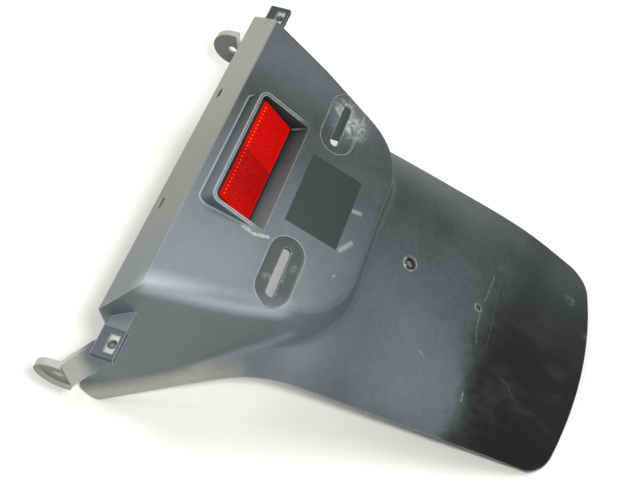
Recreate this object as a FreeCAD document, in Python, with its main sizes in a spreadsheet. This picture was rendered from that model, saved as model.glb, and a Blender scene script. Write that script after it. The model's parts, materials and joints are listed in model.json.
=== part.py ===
import FreeCAD, Part
import math
import os

import Sketcher

from FreeCAD import Placement, Rotation, Vector

# Rear splash guard of a motorcycle, as it rests on a table.
# X runs across the guard, the tip of the flap points to -Y, the open mouth to +Y, and Z is up.
# The origin is on the table, under the middle of the whole part.
# Lengths are in millimetres, angles in degrees.

DIMENSIONS = {
    # moulding
    "wall": 2.8,
    "blend_radius": 8.0,
    "plate_edge_radius": 6.0,
    # flap, a shallow arch that deepens towards the wheel
    "tip_y": -195.5,
    "tip_half_width": 99.8,
    "tip_sag": 13.5,
    "tip_bow_radius": 350.0,
    "tip_corner_radius": 28.0,
    "tip_trim_clearance": 0.3,
    "tip_crown_z": 4.1,
    "tip_curl_y": -165.0,
    "tip_curl_slope": 0.13,
    "tip_pinch_y": -115.0,
    "tip_pinch_slope": 0.08,
    "crown_slope": 0.61,
    "crown_level_y": 5.0,
    "deepening_y": -128.0,
    "deepening_slope": 0.28,
    # rim, which turns down and outwards at the waist
    "waist_y": 40.0,
    "waist_half_width": 119.1,
    "waist_turn": 0.985,
    "waist_flare": 0.223,
    "bend_softness": 12.0,
    # side profile of the housing
    "slot_row_y": 38.1,
    "slot_row_z": 154.7,
    "plate_angle": 29.4,
    "crease_y": 64.0,
    "upper_angle": 22.1,
    "ridge_y": 112.2,
    "lip_y": 139.4,
    "lip_drop": 21.0,
    # plan outline of the housing at the ridge and at the foot of its walls
    "plate_bottom_y": -9.0,
    "plate_corner_radius": 50.0,
    "plate_corner_y": 20.0,
    "plate_corner_half_width": 90.0,
    "ridge_half_width": 128.0,
    "bend_y": 118.0,
    "lip_half_width": 145.3,
    "foot_z": 40.0,
    "foot_draft": 3.5,
    "foot_bend_y": 98.0,
    "foot_flare": 0.28,
    # front edge of the side walls
    "mouth_y": 178.0,
    "mouth_toe": 10.0,
    "mouth_toe_z": 12.0,
    "mouth_toe_top_z": 22.8,
    "mouth_heel_z": 45.6,
    "notch_y": 158.0,
    "notch_z": 76.0,
    "shoulder_z": 120.0,
    "front_radius": 8.0,
    # plate slots in their oval recesses
    "slot_pitch": 140.0,
    "slot_length": 41.0,
    "slot_width": 7.0,
    "recess_length": 56.0,
    "recess_width": 28.0,
    "recess_depth": 2.4,
    # slots in the top strip
    "strip_slot_pitch": 109.0,
    "strip_slot_length": 10.0,
    "strip_slot_width": 4.0,
    "strip_slot_inset": 7.5,
    # holes along the crown of the flap
    "upper_hole_y": -41.0,
    "upper_hole_diameter": 6.0,
    "lower_hole_y": -100.2,
    "lower_hole_diameter": 5.0,
    # reflector and its wedge-shaped pocket
    "lens_from_crease": 17.3,
    "lens_rise": 0.68,
    "lens_tilt": 30.9,
    "lens_width": 91.0,
    "lens_height": 32.0,
    "lens_thickness": 5.0,
    "lens_corner_radius": 3.0,
    "bezel": 2.0,
    "base_depth": 8.0,
    "bezel_step": 0.8,
    "seat_clearance": 0.2,
    "pocket_gap": 1.5,
    "pocket_toe": 6.0,
    "pocket_sill": 2.5,
    "pocket_frame": 1.0,
    "pocket_shoulder": 11.7,
    "pocket_corner_radius": 5.0,
    "stud_pitch": 50.0,
    "stud_diameter": 5.0,
    "stud_length": 12.0,
    "stud_clearance": 0.5,
    # side tabs and the clip nuts on them
    "tab_y": 126.5,
    "tab_width": 15.0,
    "tab_top_z": 155.8,
    "tab_length": 34.3,
    "tab_root": 1.6,
    "tab_corner_radius": 3.0,
    "clip_length": 24.0,
    "clip_width": 17.0,
    "clip_steel": 1.0,
    "clip_play": 0.2,
    "clip_bend_radius": 1.6,
    "window_length": 14.0,
    "window_width": 7.0,
    "window_offset": 2.5,
    "thread_diameter": 5.0,
    "thread_play": 1.0,
    "collar_diameter": 9.0,
    "collar_height": 4.0,
    "bolt_from_end": 11.0,
    # bolt ears at the mouth
    "ear_inset": 5.0,
    "ear_root": 1.1,
    "ear_web": 15.0,
    "ear_lug": 6.3,
    "ear_reach": 22.4,
    "ear_z": 94.2,
    "ear_radius": 18.5,
    "ear_lip": 3.0,
    "ear_hole_diameter": 8.5,
}

SIDES = {"left": -1, "right": 1}
ARCH_STATIONS = 17

# How near a point lies to the face, the arc or the point that it belongs to.
ON_FACE = 0.02
ON_ARC = 0.5
AT_POINT = 0.01

doc = FreeCAD.newDocument("splash_guard")
sheet = doc.addObject("Spreadsheet::Sheet", "dims")
for row, (alias, number) in enumerate(DIMENSIONS.items(), start=1):
    sheet.set(f"A{row}", alias)
    sheet.set(f"B{row}", str(number))
    sheet.setAlias(f"B{row}", alias)
doc.recompute()


def size(alias):
    return float(sheet.get(alias))


def slope_of(alias):
    return math.tan(math.radians(size(alias)))


# Reach of helper volumes past the part, so that every cut goes right through
REACH = 1.4 * size("mouth_y")
BELOW = -size("mouth_y") / 2
WALLS_LOW_Z = BELOW / 4
WALLS_HIGH_Z = 0.9 * REACH
ARCH_END_Y = max(-size("tip_y"), size("mouth_y") + size("mouth_toe")) + 4 * size("wall")


def mirrored(point):
    return Vector(-point.x, point.y, point.z)


# Document helpers


def volume(name, shape):
    """A helper solid whose form is worked out here from the sheet."""
    feature = doc.addObject("Part::Feature", name)
    feature.Shape = shape
    return feature


def fuse(name, *objects):
    feature = doc.addObject("Part::MultiFuse", name)
    feature.Shapes = list(objects)
    doc.recompute()
    return feature


def common(name, *objects):
    feature = doc.addObject("Part::MultiCommon", name)
    feature.Shapes = list(objects)
    doc.recompute()
    return feature


def cut(name, base, *tools):
    feature = doc.addObject("Part::Cut", name)
    feature.Base = base
    feature.Tool = tools[0] if len(tools) == 1 else fuse(f"{name}_tools", *tools)
    doc.recompute()
    return feature


def fillet(name, base, radius, wanted):
    """Round the edges of base whose two ends and middle satisfy the test together."""
    feature = doc.addObject("Part::Fillet", name)
    feature.Base = base
    chosen = []
    for number, edge in enumerate(base.Shape.Edges, start=1):
        middle = edge.valueAt((edge.FirstParameter + edge.LastParameter) / 2)
        samples = [edge.Vertexes[0].Point, middle, edge.Vertexes[-1].Point]
        if wanted(samples):
            chosen.append((number, radius, radius))
    feature.Edges = chosen
    doc.recompute()
    return feature


def cylinder(name, diameter, length, placement):
    """Cylinder whose diameter and length are expressions of the sheet."""
    feature = doc.addObject("Part::Cylinder", name)
    feature.setExpression("Radius", f"({diameter}) / 2")
    feature.setExpression("Height", length)
    feature.Placement = placement
    return feature


def side_prism(points, half_width=REACH):
    """Solid with an outline in the YZ plane, drawn right across the part."""
    ring = [Vector(-half_width, y, z) for y, z in points]
    return Part.Face(Part.makePolygon(ring + ring[:1])).extrude(Vector(2 * half_width, 0, 0))


# Laws of the arch: straight runs joined by soft bends


def past(distance):
    """Nought before a bend and the distance after it, rounded over the bend."""
    soft = size("bend_softness")
    return soft * math.log1p(math.exp(distance / soft))


def flap_z(y):
    """Height along the flap's straight run, with the slight upward curl of its tip."""
    straight = size("tip_crown_z") + size("crown_slope") * (y - size("tip_y"))
    return straight + size("tip_curl_slope") * past(size("tip_curl_y") - y)


def crown_z(y):
    return flap_z(y) - size("crown_slope") * past(y - size("crown_level_y"))


def rim_half_width(y):
    taper = (size("waist_half_width") - size("tip_half_width")) / (size("waist_y") - size("tip_y"))
    straight = size("waist_half_width") + taper * (y - size("waist_y"))
    pinch = size("tip_pinch_slope") * past(size("tip_pinch_y") - y)
    return straight - pinch + (size("waist_flare") - taper) * past(y - size("waist_y"))


def rim_z(y):
    deepening = size("deepening_slope") * past(y - size("deepening_y"))
    fall = size("waist_turn") * past(y - size("waist_y"))
    return flap_z(y) - size("tip_sag") - deepening - fall


def arch(y):
    """Centre, radius and half angle of the outer arc at one station."""
    half = rim_half_width(y)
    sag = crown_z(y) - rim_z(y)
    radius = (half * half + sag * sag) / (2 * sag)
    return Vector(0, y, crown_z(y) - radius), radius, 2 * math.atan2(sag, half)


def on_arc(centre, radius, angle):
    return centre + Vector(radius * math.sin(angle), 0, radius * math.cos(angle))


def under_arch(y, inset):
    """Section of everything under the arc, a little past the rim."""
    centre, radius, half_angle = arch(y)
    angle = half_angle + 2 * size("wall") / radius
    start = on_arc(centre, radius - inset, -angle)
    top = on_arc(centre, radius - inset, 0)
    end = on_arc(centre, radius - inset, angle)
    low_start = Vector(start.x, y, BELOW)
    low_end = Vector(end.x, y, BELOW)
    return Part.Wire([
        Part.Arc(start, top, end).toShape(),
        Part.makeLine(end, low_end),
        Part.makeLine(low_end, low_start),
        Part.makeLine(low_start, start),
    ])


def under_rim(y, side):
    """Section of everything below one rim, cut square to the wall."""
    centre, radius, half_angle = arch(y)
    across = 3 * size("wall")
    inside = on_arc(centre, radius - across, side * half_angle)
    outside = on_arc(centre, radius + across, side * half_angle)
    aside = outside + Vector(side * across, 0, 0)
    low_aside = Vector(aside.x, y, 2 * BELOW)
    low_inside = Vector(inside.x - side * size("wall"), y, 2 * BELOW)
    return Part.makePolygon([inside, outside, aside, low_aside, low_inside, inside])


def arch_loft(section, *settings):
    step = 2 * ARCH_END_Y / (ARCH_STATIONS - 1)
    stations = [number * step - ARCH_END_Y for number in range(ARCH_STATIONS)]
    return Part.makeLoft([section(y, *settings) for y in stations], True, False)


# Laws of the housing


def crease_z():
    return size("slot_row_z") + slope_of("plate_angle") * (size("crease_y") - size("slot_row_y"))


def ridge_z():
    return crease_z() + slope_of("upper_angle") * (size("ridge_y") - size("crease_y"))


def strip_slope():
    return -size("lip_drop") / (size("lip_y") - size("ridge_y"))


def profile_lines(inset):
    """Slope, and height at y = 0, of the lower plate, the upper plate and the strip."""
    anchors = (
        (size("slot_row_y"), size("slot_row_z"), slope_of("plate_angle")),
        (size("crease_y"), crease_z(), slope_of("upper_angle")),
        (size("ridge_y"), ridge_z(), strip_slope()),
    )
    return [(slope, z - slope * y - inset * math.hypot(1, slope)) for y, z, slope in anchors]


def height_on(line, y):
    return line[0] * y + line[1]


def meeting(first, second):
    y = (second[1] - first[1]) / (first[0] - second[0])
    return y, height_on(first, y)


def flank_half_width(y):
    run = size("ridge_y") - size("plate_corner_y")
    spread = (size("ridge_half_width") - size("plate_corner_half_width")) / run
    return size("plate_corner_half_width") + spread * (y - size("plate_corner_y")), math.atan(spread)


def flare_at(share):
    """Lateral spread of the front panel at a share of the way from foot to ridge."""
    run = size("lip_y") - size("bend_y")
    top = (size("lip_half_width") - flank_half_width(size("bend_y"))[0]) / run
    return size("foot_flare") + share * (top - size("foot_flare"))


def housing_outline(z, inset):
    """Plan outline of the housing's walls at one height: front panels, flanks, round corners and bottom."""
    share = (z - size("foot_z")) / (ridge_z() - size("foot_z"))
    outwards = size("foot_draft") * (1 - share)
    radius = size("plate_corner_radius")
    corner_y = size("plate_bottom_y") + radius
    flank_x, lean = flank_half_width(corner_y)
    corner = Vector(flank_x - radius / math.cos(lean), corner_y, z)
    flank_normal = Vector(math.cos(lean), -math.sin(lean), 0)
    half_turn = (math.pi / 2 - lean) / 2
    reach = radius + outwards - inset
    flank_end = corner + flank_normal * reach
    corner_middle = corner + Vector(math.sin(half_turn), -math.cos(half_turn), 0) * reach
    bottom_end = corner + Vector(0, -reach, 0)

    bend_y = size("foot_bend_y") + share * (size("bend_y") - size("foot_bend_y"))
    bend = Vector(flank_half_width(bend_y)[0] + outwards / math.cos(lean), bend_y, z)
    flare = flare_at(share)
    panel_lean = math.atan(flare)
    panel_normal = Vector(math.cos(panel_lean), -math.sin(panel_lean), 0)
    bend -= (flank_normal + panel_normal) * (inset / (1 + flank_normal.dot(panel_normal)))
    front = Vector(bend.x + flare * (REACH - bend.y), REACH, z)
    return Part.Wire([
        Part.makeLine(mirrored(front), mirrored(bend)),
        Part.makeLine(mirrored(bend), mirrored(flank_end)),
        Part.Arc(mirrored(flank_end), mirrored(corner_middle), mirrored(bottom_end)).toShape(),
        Part.makeLine(mirrored(bottom_end), bottom_end),
        Part.Arc(bottom_end, corner_middle, flank_end).toShape(),
        Part.makeLine(flank_end, bend),
        Part.makeLine(bend, front),
        Part.makeLine(front, mirrored(front)),
    ])


def wall_x(y, z):
    """Half width of the front panel's outer face."""
    share = (z - size("foot_z")) / (ridge_z() - size("foot_z"))
    bend_y = size("foot_bend_y") + share * (size("bend_y") - size("foot_bend_y"))
    half, lean = flank_half_width(bend_y)
    outwards = size("foot_draft") * (1 - share) / math.cos(lean)
    return half + outwards + flare_at(share) * (y - bend_y)


def wall_face(low, high):
    """Face between two level edges: flat where they are parallel lines, ruled elsewhere."""
    a, b = (low.valueAt(parameter) for parameter in low.ParameterRange)
    d, c = (high.valueAt(parameter) for parameter in high.ParameterRange)
    straight = low.Curve.TypeId == high.Curve.TypeId == "Part::GeomLine"
    if straight and (b - a).cross(c - d).Length < AT_POINT:
        return Part.Face(Part.makePolygon([a, b, c, d, a]))
    return Part.makeLoft([Part.Wire(low), Part.Wire(high)], False, True).Faces[0]


def walls(inset):
    """Drafted block inside the plan outlines of the housing."""
    low, high = (housing_outline(z, inset) for z in (WALLS_LOW_Z, WALLS_HIGH_Z))
    sides = [wall_face(*edges) for edges in zip(low.Edges, high.Edges)]
    shell = Part.Shell([Part.Face(low), Part.Face(high), *sides])
    shell.sewShape()
    return Part.Solid(shell)


def housing_block(name, inset):
    """Sharp-edged solid of the housing: the outer form, or its hollow when inset by the wall."""
    lower, upper, strip = profile_lines(inset)
    back_y = BELOW
    front_y = 0.95 * REACH
    floor_z = WALLS_LOW_Z / 2
    profile = side_prism([
        (back_y, height_on(lower, back_y)),
        meeting(lower, upper),
        meeting(upper, strip),
        (front_y, height_on(strip, front_y)),
        (front_y, floor_z),
        (back_y, floor_z),
    ])
    return common(name, volume(f"{name}_walls", walls(inset)), volume(f"{name}_profile", profile))


def housing():
    """Outer form of the housing, with rounded plate edges."""
    lower, upper, strip = profile_lines(0)

    def touches(line, points):
        return all(abs(height_on(line, point.y) - point.z) < ON_FACE for point in points)

    def plate_edge(points):
        on_lower = touches(lower, points)
        on_upper = touches(upper, points)
        return on_lower != on_upper and not touches(strip, points)

    return fillet("housing", housing_block("housing_block", 0), size("plate_edge_radius"), plate_edge)


# Trimming outlines


def tip_outline():
    """Plan outline that bows the tip and rounds its corners, just clear of the rims elsewhere."""
    tip_radius = size("tip_bow_radius")
    tip_centre = Vector(0, size("tip_y") + tip_radius, 0)
    radius = size("tip_corner_radius")
    clear = size("tip_trim_clearance")
    start_y = size("tip_y") + radius
    straight_y = start_y + 2 * radius
    taper = (rim_half_width(straight_y) - rim_half_width(start_y)) / (straight_y - start_y)
    square = math.hypot(1, taper)

    # The corner's centre lies its radius in from the side line, and its radius in from the tip's arc.
    offset = rim_half_width(start_y) - taper * start_y + clear - radius * square
    gap = tip_radius - radius
    b = offset * taper - tip_centre.y
    c = offset * offset + tip_centre.y ** 2 - gap * gap
    corner_y = (-b - math.sqrt(b * b - square * square * c)) / (square * square)
    corner = Vector(offset + taper * corner_y, corner_y, 0)
    side = corner + Vector(radius / square, -radius * taper / square, 0)
    tip = tip_centre + (corner - tip_centre).normalize() * tip_radius
    middle = corner + ((side - corner) + (tip - corner)).normalize() * radius
    straight = Vector(rim_half_width(straight_y) + clear, straight_y, 0)
    outer = Vector(REACH, straight_y + radius, 0)
    far = Vector(REACH, REACH, 0)
    wire = Part.Wire([
        Part.makeLine(far, outer),
        Part.makeLine(outer, straight),
        Part.makeLine(straight, side),
        Part.Arc(side, middle, tip).toShape(),
        Part.Arc(tip, tip_centre + Vector(0, -tip_radius, 0), mirrored(tip)).toShape(),
        Part.Arc(mirrored(tip), mirrored(middle), mirrored(side)).toShape(),
        Part.makeLine(mirrored(side), mirrored(straight)),
        Part.makeLine(mirrored(straight), mirrored(outer)),
        Part.makeLine(mirrored(outer), mirrored(far)),
        Part.makeLine(mirrored(far), far),
    ])
    wire.translate(Vector(0, 0, -size("wall")))
    return Part.Face(wire).extrude(Vector(0, 0, REACH))


def front_outline():
    """Side outline of the moulding's front edge, from the table up past the strip's free edge."""
    lip_z = ridge_z() - size("lip_drop")
    toe_y = size("mouth_y") + size("mouth_toe")
    above = size("lip_drop")
    points = [
        (-REACH, 0),
        (size("mouth_y"), 0),
        (toe_y, size("mouth_toe_z")),
        (toe_y, size("mouth_toe_top_z")),
        (size("notch_y") + size("mouth_toe"), size("mouth_heel_z")),
        (size("notch_y"), size("notch_z")),
        (size("notch_y"), size("ear_z") + size("ear_radius")),
        (size("lip_y"), size("shoulder_z")),
        (size("lip_y"), lip_z),
        (size("lip_y") - above * strip_slope(), lip_z + above),
        (-REACH, REACH),
    ]
    prism = side_prism(points)
    rounded = []
    for edge in prism.Edges:
        start, end = (vertex.Point for vertex in edge.Vertexes)
        along_x = abs(start.x - end.x) > REACH
        if along_x and start.y > size("lip_y") and start.z < size("shoulder_z") - AT_POINT:
            rounded.append(edge)
    return prism.makeFillet(size("front_radius"), rounded)


# The moulding


def moulding():
    """Arch and housing as one shell of even wall, trimmed at the rims, the tip and the mouth."""
    arch_volume = volume("arch_volume", arch_loft(under_arch, 0))
    arch_hollow = volume("arch_hollow", arch_loft(under_arch, size("wall")))
    rims = [volume(f"under_rim_{name}", arch_loft(under_rim, side)) for name, side in SIDES.items()]
    outside = fuse("outside", arch_volume, housing())

    def foot(points):
        middle = points[1]
        centre, radius, _ = arch(middle.y)
        near_arc = abs((middle - centre).Length - radius) < ON_ARC
        inside_rim = abs(middle.x) < rim_half_width(middle.y) - ON_ARC
        return near_arc and inside_rim and abs(middle.y) < ARCH_END_Y - ON_ARC

    blended = fillet("outside_blended", outside, size("blend_radius"), foot)
    housing_hollow = housing_block("housing_hollow", size("wall"))
    shell = cut("shell", blended, arch_hollow, housing_hollow, *rims)
    return common(
        "trimmed_shell",
        shell,
        volume("tip_outline", tip_outline()),
        volume("front_outline", front_outline()),
    )


# Reflector pocket, slots, tabs and ears


def lens_placement(across=0, up=0, out=0):
    """Place on the reflector's face: across it, up its slope and out of it."""
    turn = Rotation(Vector(1, 0, 0), size("upper_angle") + size("lens_tilt"))
    upper = profile_lines(0)[1]
    y = size("crease_y") + size("lens_from_crease")
    centre = Vector(0, y, height_on(upper, y) + size("lens_rise"))
    return Placement(centre + turn.multVec(Vector(across, up, out)), turn)


def plate_placement(across):
    """Place on the lower plate face at the slot row."""
    turn = Rotation(Vector(1, 0, 0), size("plate_angle"))
    return Placement(Vector(across, size("slot_row_y"), size("slot_row_z")), turn)


def strip_placement(across):
    """Place on the strip at the row of its two slots."""
    angle = math.degrees(math.atan(strip_slope()))
    turn = Rotation(Vector(1, 0, 0), angle)
    lip = Vector(across, size("lip_y"), ridge_z() - size("lip_drop"))
    return Placement(lip + turn.multVec(Vector(0, -size("strip_slot_inset"), 0)), turn)


def oval(length, width, low, high):
    """Prism with an oval outline, long along X, between two heights."""
    radius = width / 2
    reach = (length - width) / 2
    left_top = Vector(-reach, radius, low)
    left_end = Vector(-reach - radius, 0, low)
    left_low = Vector(-reach, -radius, low)
    outline = Part.Wire([
        Part.Arc(left_top, left_end, left_low).toShape(),
        Part.makeLine(left_low, mirrored(left_low)),
        Part.Arc(mirrored(left_low), mirrored(left_end), mirrored(left_top)).toShape(),
        Part.makeLine(mirrored(left_top), left_top),
    ])
    return Part.Face(outline).extrude(Vector(0, 0, high - low))


def placed(name, shape, placement):
    feature = volume(name, shape)
    feature.Placement = placement
    return feature


def pocket_outlines():
    """Side outlines of the pocket's body and of its hollow, floor parallel to the reflector."""
    wall = size("wall")
    half = size("lens_height") / 2 + size("bezel") + size("pocket_gap")
    floor = -size("base_depth")
    under = floor - wall

    def local(up, out):
        base = lens_placement(0, up, out).Base
        return base.y, base.z

    lower, upper, _ = profile_lines(0)
    inner_lower, inner_upper, _ = profile_lines(wall)
    toe_y = size("crease_y") - size("pocket_toe")
    toe = (toe_y, height_on(lower, toe_y))
    sill = local(-half, floor + size("pocket_sill"))
    back_y = local(half + wall, under)[0] + wall
    body = [
        (toe_y - wall, height_on(lower, toe_y - wall) - wall / 2),
        (toe_y - wall, height_on(inner_lower, toe_y - wall)),
        (sill[0] - wall, sill[1] - wall),
        local(-half - wall / 2, under),
        local(size("pocket_shoulder"), under),
        (back_y, height_on(inner_upper, back_y) + wall / 2),
        local(half + wall, under),
        local(half + wall, size("pocket_frame")),
        local(half, size("pocket_frame")),
        toe,
    ]
    outside = 8 * wall
    hollow = [
        toe,
        sill,
        local(-half, floor),
        local(half, floor),
        local(half, outside),
        (lens_placement().Base.y, WALLS_HIGH_Z),
        (toe_y, WALLS_HIGH_Z),
    ]
    return body, hollow


def pocket():
    """Pocket body to add to the moulding and pocket hollow to take away."""
    half = size("lens_width") / 2 + size("bezel") + size("pocket_gap")
    wall = size("wall")
    body, hollow = pocket_outlines()
    out = lens_placement().Rotation.multVec(Vector(0, 0, 1))

    def rounded(outline, reach, radius):
        prism = side_prism(outline, reach)
        corners = []
        for edge in prism.Edges:
            start, end = (vertex.Point for vertex in edge.Vertexes)
            square_to_floor = abs((end - start).normalize().dot(out)) > 0.999
            if square_to_floor and edge.Length > radius:
                corners.append(edge)
        return prism.makeFillet(radius, corners)

    body_form = rounded(body, half + wall, size("pocket_corner_radius") + wall)
    hollow_form = rounded(hollow, half, size("pocket_corner_radius"))
    return volume("pocket_body", body_form), volume("pocket_hollow", hollow_form)


def recess_pads(outside):
    """Floors under the oval recesses, kept inside the housing's outer form."""
    wall = size("wall")
    depth = size("recess_depth")
    shape = oval(size("recess_length") + 2 * wall, size("recess_width") + 2 * wall, -depth - wall, 0)
    pads = []
    for name, side in SIDES.items():
        pad = placed(f"recess_block_{name}", shape.copy(), plate_placement(side * size("slot_pitch") / 2))
        pads.append(common(f"recess_pad_{name}", pad, outside))
    return pads


def slots():
    """Recesses, plate slots, strip slots and the two holes on the crown."""
    wall = size("wall")
    deep = size("recess_depth") + 2 * wall
    tools = []
    for name, side in SIDES.items():
        at = plate_placement(side * size("slot_pitch") / 2)
        recess = oval(size("recess_length"), size("recess_width"), -size("recess_depth"), wall)
        slot = oval(size("slot_length"), size("slot_width"), -deep, wall)
        strip_slot = oval(size("strip_slot_length"), size("strip_slot_width"), -2 * wall, wall)
        strip_at = strip_placement(side * size("strip_slot_pitch") / 2)
        tools.append(placed(f"recess_{name}", recess, at))
        tools.append(placed(f"plate_slot_{name}", slot, at))
        tools.append(placed(f"strip_slot_{name}", strip_slot, strip_at))
    normal = Vector(0, -size("crown_slope"), 1).normalize()
    for name in ("upper_hole", "lower_hole"):
        y = size(f"{name}_y")
        start = Vector(0, y, crown_z(y)) - normal * 4 * wall
        axis = Rotation(Vector(0, 0, 1), normal)
        tools.append(cylinder(name, f"dims.{name}_diameter", "8 * dims.wall", Placement(start, axis)))
    return tools


def tab_end_x():
    return wall_x(size("tab_y"), size("tab_top_z")) + size("tab_length")


def tab(name, side):
    """Tongue that stands out from the front panel for the clip nut."""
    half = size("tab_width") / 2
    z = size("tab_top_z")
    bottom = z - size("wall")
    end = tab_end_x()
    near = size("tab_y") - half
    far = size("tab_y") + half
    root = size("tab_root")
    corners = [
        Vector(side * (wall_x(near, bottom) - root), near, bottom),
        Vector(side * end, near, bottom),
        Vector(side * end, far, bottom),
        Vector(side * (wall_x(far, bottom) - root), far, bottom),
    ]
    blank = Part.Face(Part.makePolygon(corners + corners[:1])).extrude(Vector(0, 0, size("wall")))
    rounded = []
    for edge in blank.Edges:
        start, finish = (vertex.Point for vertex in edge.Vertexes)
        if abs(start.z - finish.z) > AT_POINT and abs(abs(start.x) - end) < AT_POINT:
            rounded.append(edge)
    return volume(f"tab_{name}", blank.makeFillet(size("tab_corner_radius"), rounded))


def bolt_x():
    return tab_end_x() - size("bolt_from_end")


def bolt_y():
    return size("tab_y") - size("window_offset")


def tab_hole(name, side):
    start = Vector(side * bolt_x(), bolt_y(), size("tab_top_z") - 2 * size("wall"))
    diameter = "dims.thread_diameter + 2 * dims.thread_play"
    return cylinder(f"tab_hole_{name}", diameter, "3 * dims.wall", Placement(start, Rotation()))


def ear_root():
    """Point on the front panel's outer face where an ear's web leaves it."""
    y = size("notch_y") - size("ear_inset")
    return Vector(wall_x(y, size("ear_z")), y, size("ear_z"))


def ear_bend():
    """Point on the outer face where the web turns into the lug."""
    return ear_root() + Vector(size("ear_reach"), size("ear_web"), 0)


def ear_centre():
    return ear_bend() + Vector(0, size("ear_lug"), 0)


def ear_outline(inset, near, far):
    """Side outline of an ear, half round at its free end, as a prism along X."""
    centre = ear_centre()
    radius = size("ear_radius") - inset
    top = Vector(near, centre.y, centre.z + radius)
    end = Vector(near, centre.y + radius, centre.z)
    low = Vector(near, centre.y, centre.z - radius)
    back_low = Vector(near, ear_root().y, low.z)
    back_top = Vector(near, ear_root().y, top.z)
    outline = Part.Wire([
        Part.Arc(top, end, low).toShape(),
        Part.makeLine(low, back_low),
        Part.makeLine(back_low, back_top),
        Part.makeLine(back_top, top),
    ])
    return Part.Face(outline).extrude(Vector(far - near, 0, 0))


def ear(name, side):
    """Bolt ear: a web that leaves the front panel, a flat lug, and a lip turned out round the lug."""
    wall = size("wall")
    down = Vector(0, 0, -2 * size("ear_radius"))
    bend = ear_bend()
    outer = [
        ear_root() - Vector(size("ear_root"), 0, 0) + down,
        bend + down,
        bend + Vector(0, 4 * size("ear_radius"), 0) + down,
    ]
    web = (outer[1] - outer[0]).normalize()
    web_normal = Vector(-web.y, web.x, 0)
    lug_normal = Vector(-1, 0, 0)
    mitre = (web_normal + lug_normal) * (wall / (1 + web_normal.dot(lug_normal)))
    inner = [outer[0] + web_normal * wall, outer[1] + mitre, outer[2] + lug_normal * wall]
    ring = outer + inner[::-1]
    bent_sheet = Part.Face(Part.makePolygon(ring + ring[:1])).extrude(down * -2)
    flat = bent_sheet.common(ear_outline(0, outer[0].x - 2 * wall, bend.x + wall))
    rim = ear_outline(0, bend.x - wall / 2, bend.x + size("ear_lip"))
    dish = ear_outline(wall, bend.x - wall, bend.x + size("ear_lip") + wall)
    behind = Part.makeBox(REACH, REACH, REACH, Vector(0, bend.y - REACH, 0))
    shape = flat.fuse(rim.cut(dish).cut(behind)).removeSplitter()
    if side < 0:
        shape = shape.mirror(Vector(), Vector(1, 0, 0))
    return volume(f"ear_{name}", shape)


def ear_hole(name, side):
    axis = Rotation(Vector(0, 0, 1), Vector(side, 0, 0))
    centre = ear_centre() - Vector(4 * size("wall"), 0, 0)
    start = Vector(side * centre.x, centre.y, centre.z)
    return cylinder(f"ear_hole_{name}", "dims.ear_hole_diameter", "8 * dims.wall", Placement(start, axis))


def stud_holes():
    tools = []
    diameter = "dims.stud_diameter + dims.stud_clearance"
    below = -size("base_depth") - 3 * size("wall")
    for name, side in SIDES.items():
        at = lens_placement(side * size("stud_pitch") / 2, 0, below)
        tools.append(cylinder(f"stud_hole_{name}", diameter, "4 * dims.wall", at))
    return tools


def guard_body():
    shell = moulding()
    outside = doc.getObject("housing")
    body, hollow = pocket()
    parts = [shell, body, *recess_pads(outside)]
    tools = [hollow, *stud_holes(), *slots()]
    for name, side in SIDES.items():
        parts += [tab(name, side), ear(name, side)]
        tools += [tab_hole(name, side), ear_hole(name, side)]
    whole = fuse("moulding", *parts)
    return cut("guard_body", whole, *tools)


# Bodies drawn from sketches


def new_sketch(body, role, name):
    sketch = body.newObject("Sketcher::SketchObject", name)
    plane = next(feature for feature in body.Origin.OriginFeatures if feature.Role == role)
    sketch.AttachmentSupport = [(plane, "")]
    sketch.MapMode = "FlatFace"
    return sketch


def bind(sketch, constraint, name, expression):
    number = sketch.addConstraint(constraint)
    sketch.renameConstraint(number, name)
    sketch.setExpression(f"Constraints.{name}", expression)


def draw_rectangle(sketch, width, height):
    """Rectangle centred on the sketch's origin, with its sides bound to two expressions."""
    first_half = 10.0
    corners = [
        Vector(-first_half, -first_half, 0),
        Vector(first_half, -first_half, 0),
        Vector(first_half, first_half, 0),
        Vector(-first_half, first_half, 0),
    ]
    for start, end in zip(corners, corners[1:] + corners[:1]):
        sketch.addGeometry(Part.LineSegment(start, end))
    for side in range(4):
        sketch.addConstraint(Sketcher.Constraint("Coincident", side, 2, (side + 1) % 4, 1))
        sketch.addConstraint(Sketcher.Constraint("Horizontal" if side % 2 == 0 else "Vertical", side))
    sketch.addConstraint(Sketcher.Constraint("Symmetric", 0, 1, 1, 2, -1, 1))
    bind(sketch, Sketcher.Constraint("DistanceX", 0, 1, 0, 2, 2 * first_half), "width", width)
    bind(sketch, Sketcher.Constraint("DistanceY", 1, 1, 1, 2, 2 * first_half), "height", height)


def pad(body, sketch, length, back=False):
    feature = body.newObject("PartDesign::Pad", f"{sketch.Name}_pad")
    feature.Profile = sketch
    feature.setExpression("Length", length)
    feature.Reversed = back
    doc.recompute()
    return feature


def round_edges(body, base, radius, wanted):
    """Fillet of a body on those edges of its last feature that pass the test."""
    feature = body.newObject("PartDesign::Fillet", f"{base.Name}_round")
    names = []
    for number, edge in enumerate(base.Shape.Edges, start=1):
        if wanted(edge):
            names.append(f"Edge{number}")
    feature.Base = (base, names)
    feature.setExpression("Radius", radius)
    doc.recompute()
    return feature


def upright(edge):
    start, end = (vertex.Point for vertex in edge.Vertexes)
    return abs(start.z - end.z) > AT_POINT


# The reflector and what holds it


def reflector_lens():
    body = doc.addObject("PartDesign::Body", "reflector_lens")
    sketch = new_sketch(body, "XY_Plane", "lens_outline")
    draw_rectangle(sketch, "dims.lens_width", "dims.lens_height")
    block = pad(body, sketch, "dims.lens_thickness", back=True)
    round_edges(body, block, "dims.lens_corner_radius", upright)
    body.Placement = lens_placement()
    return body


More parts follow.
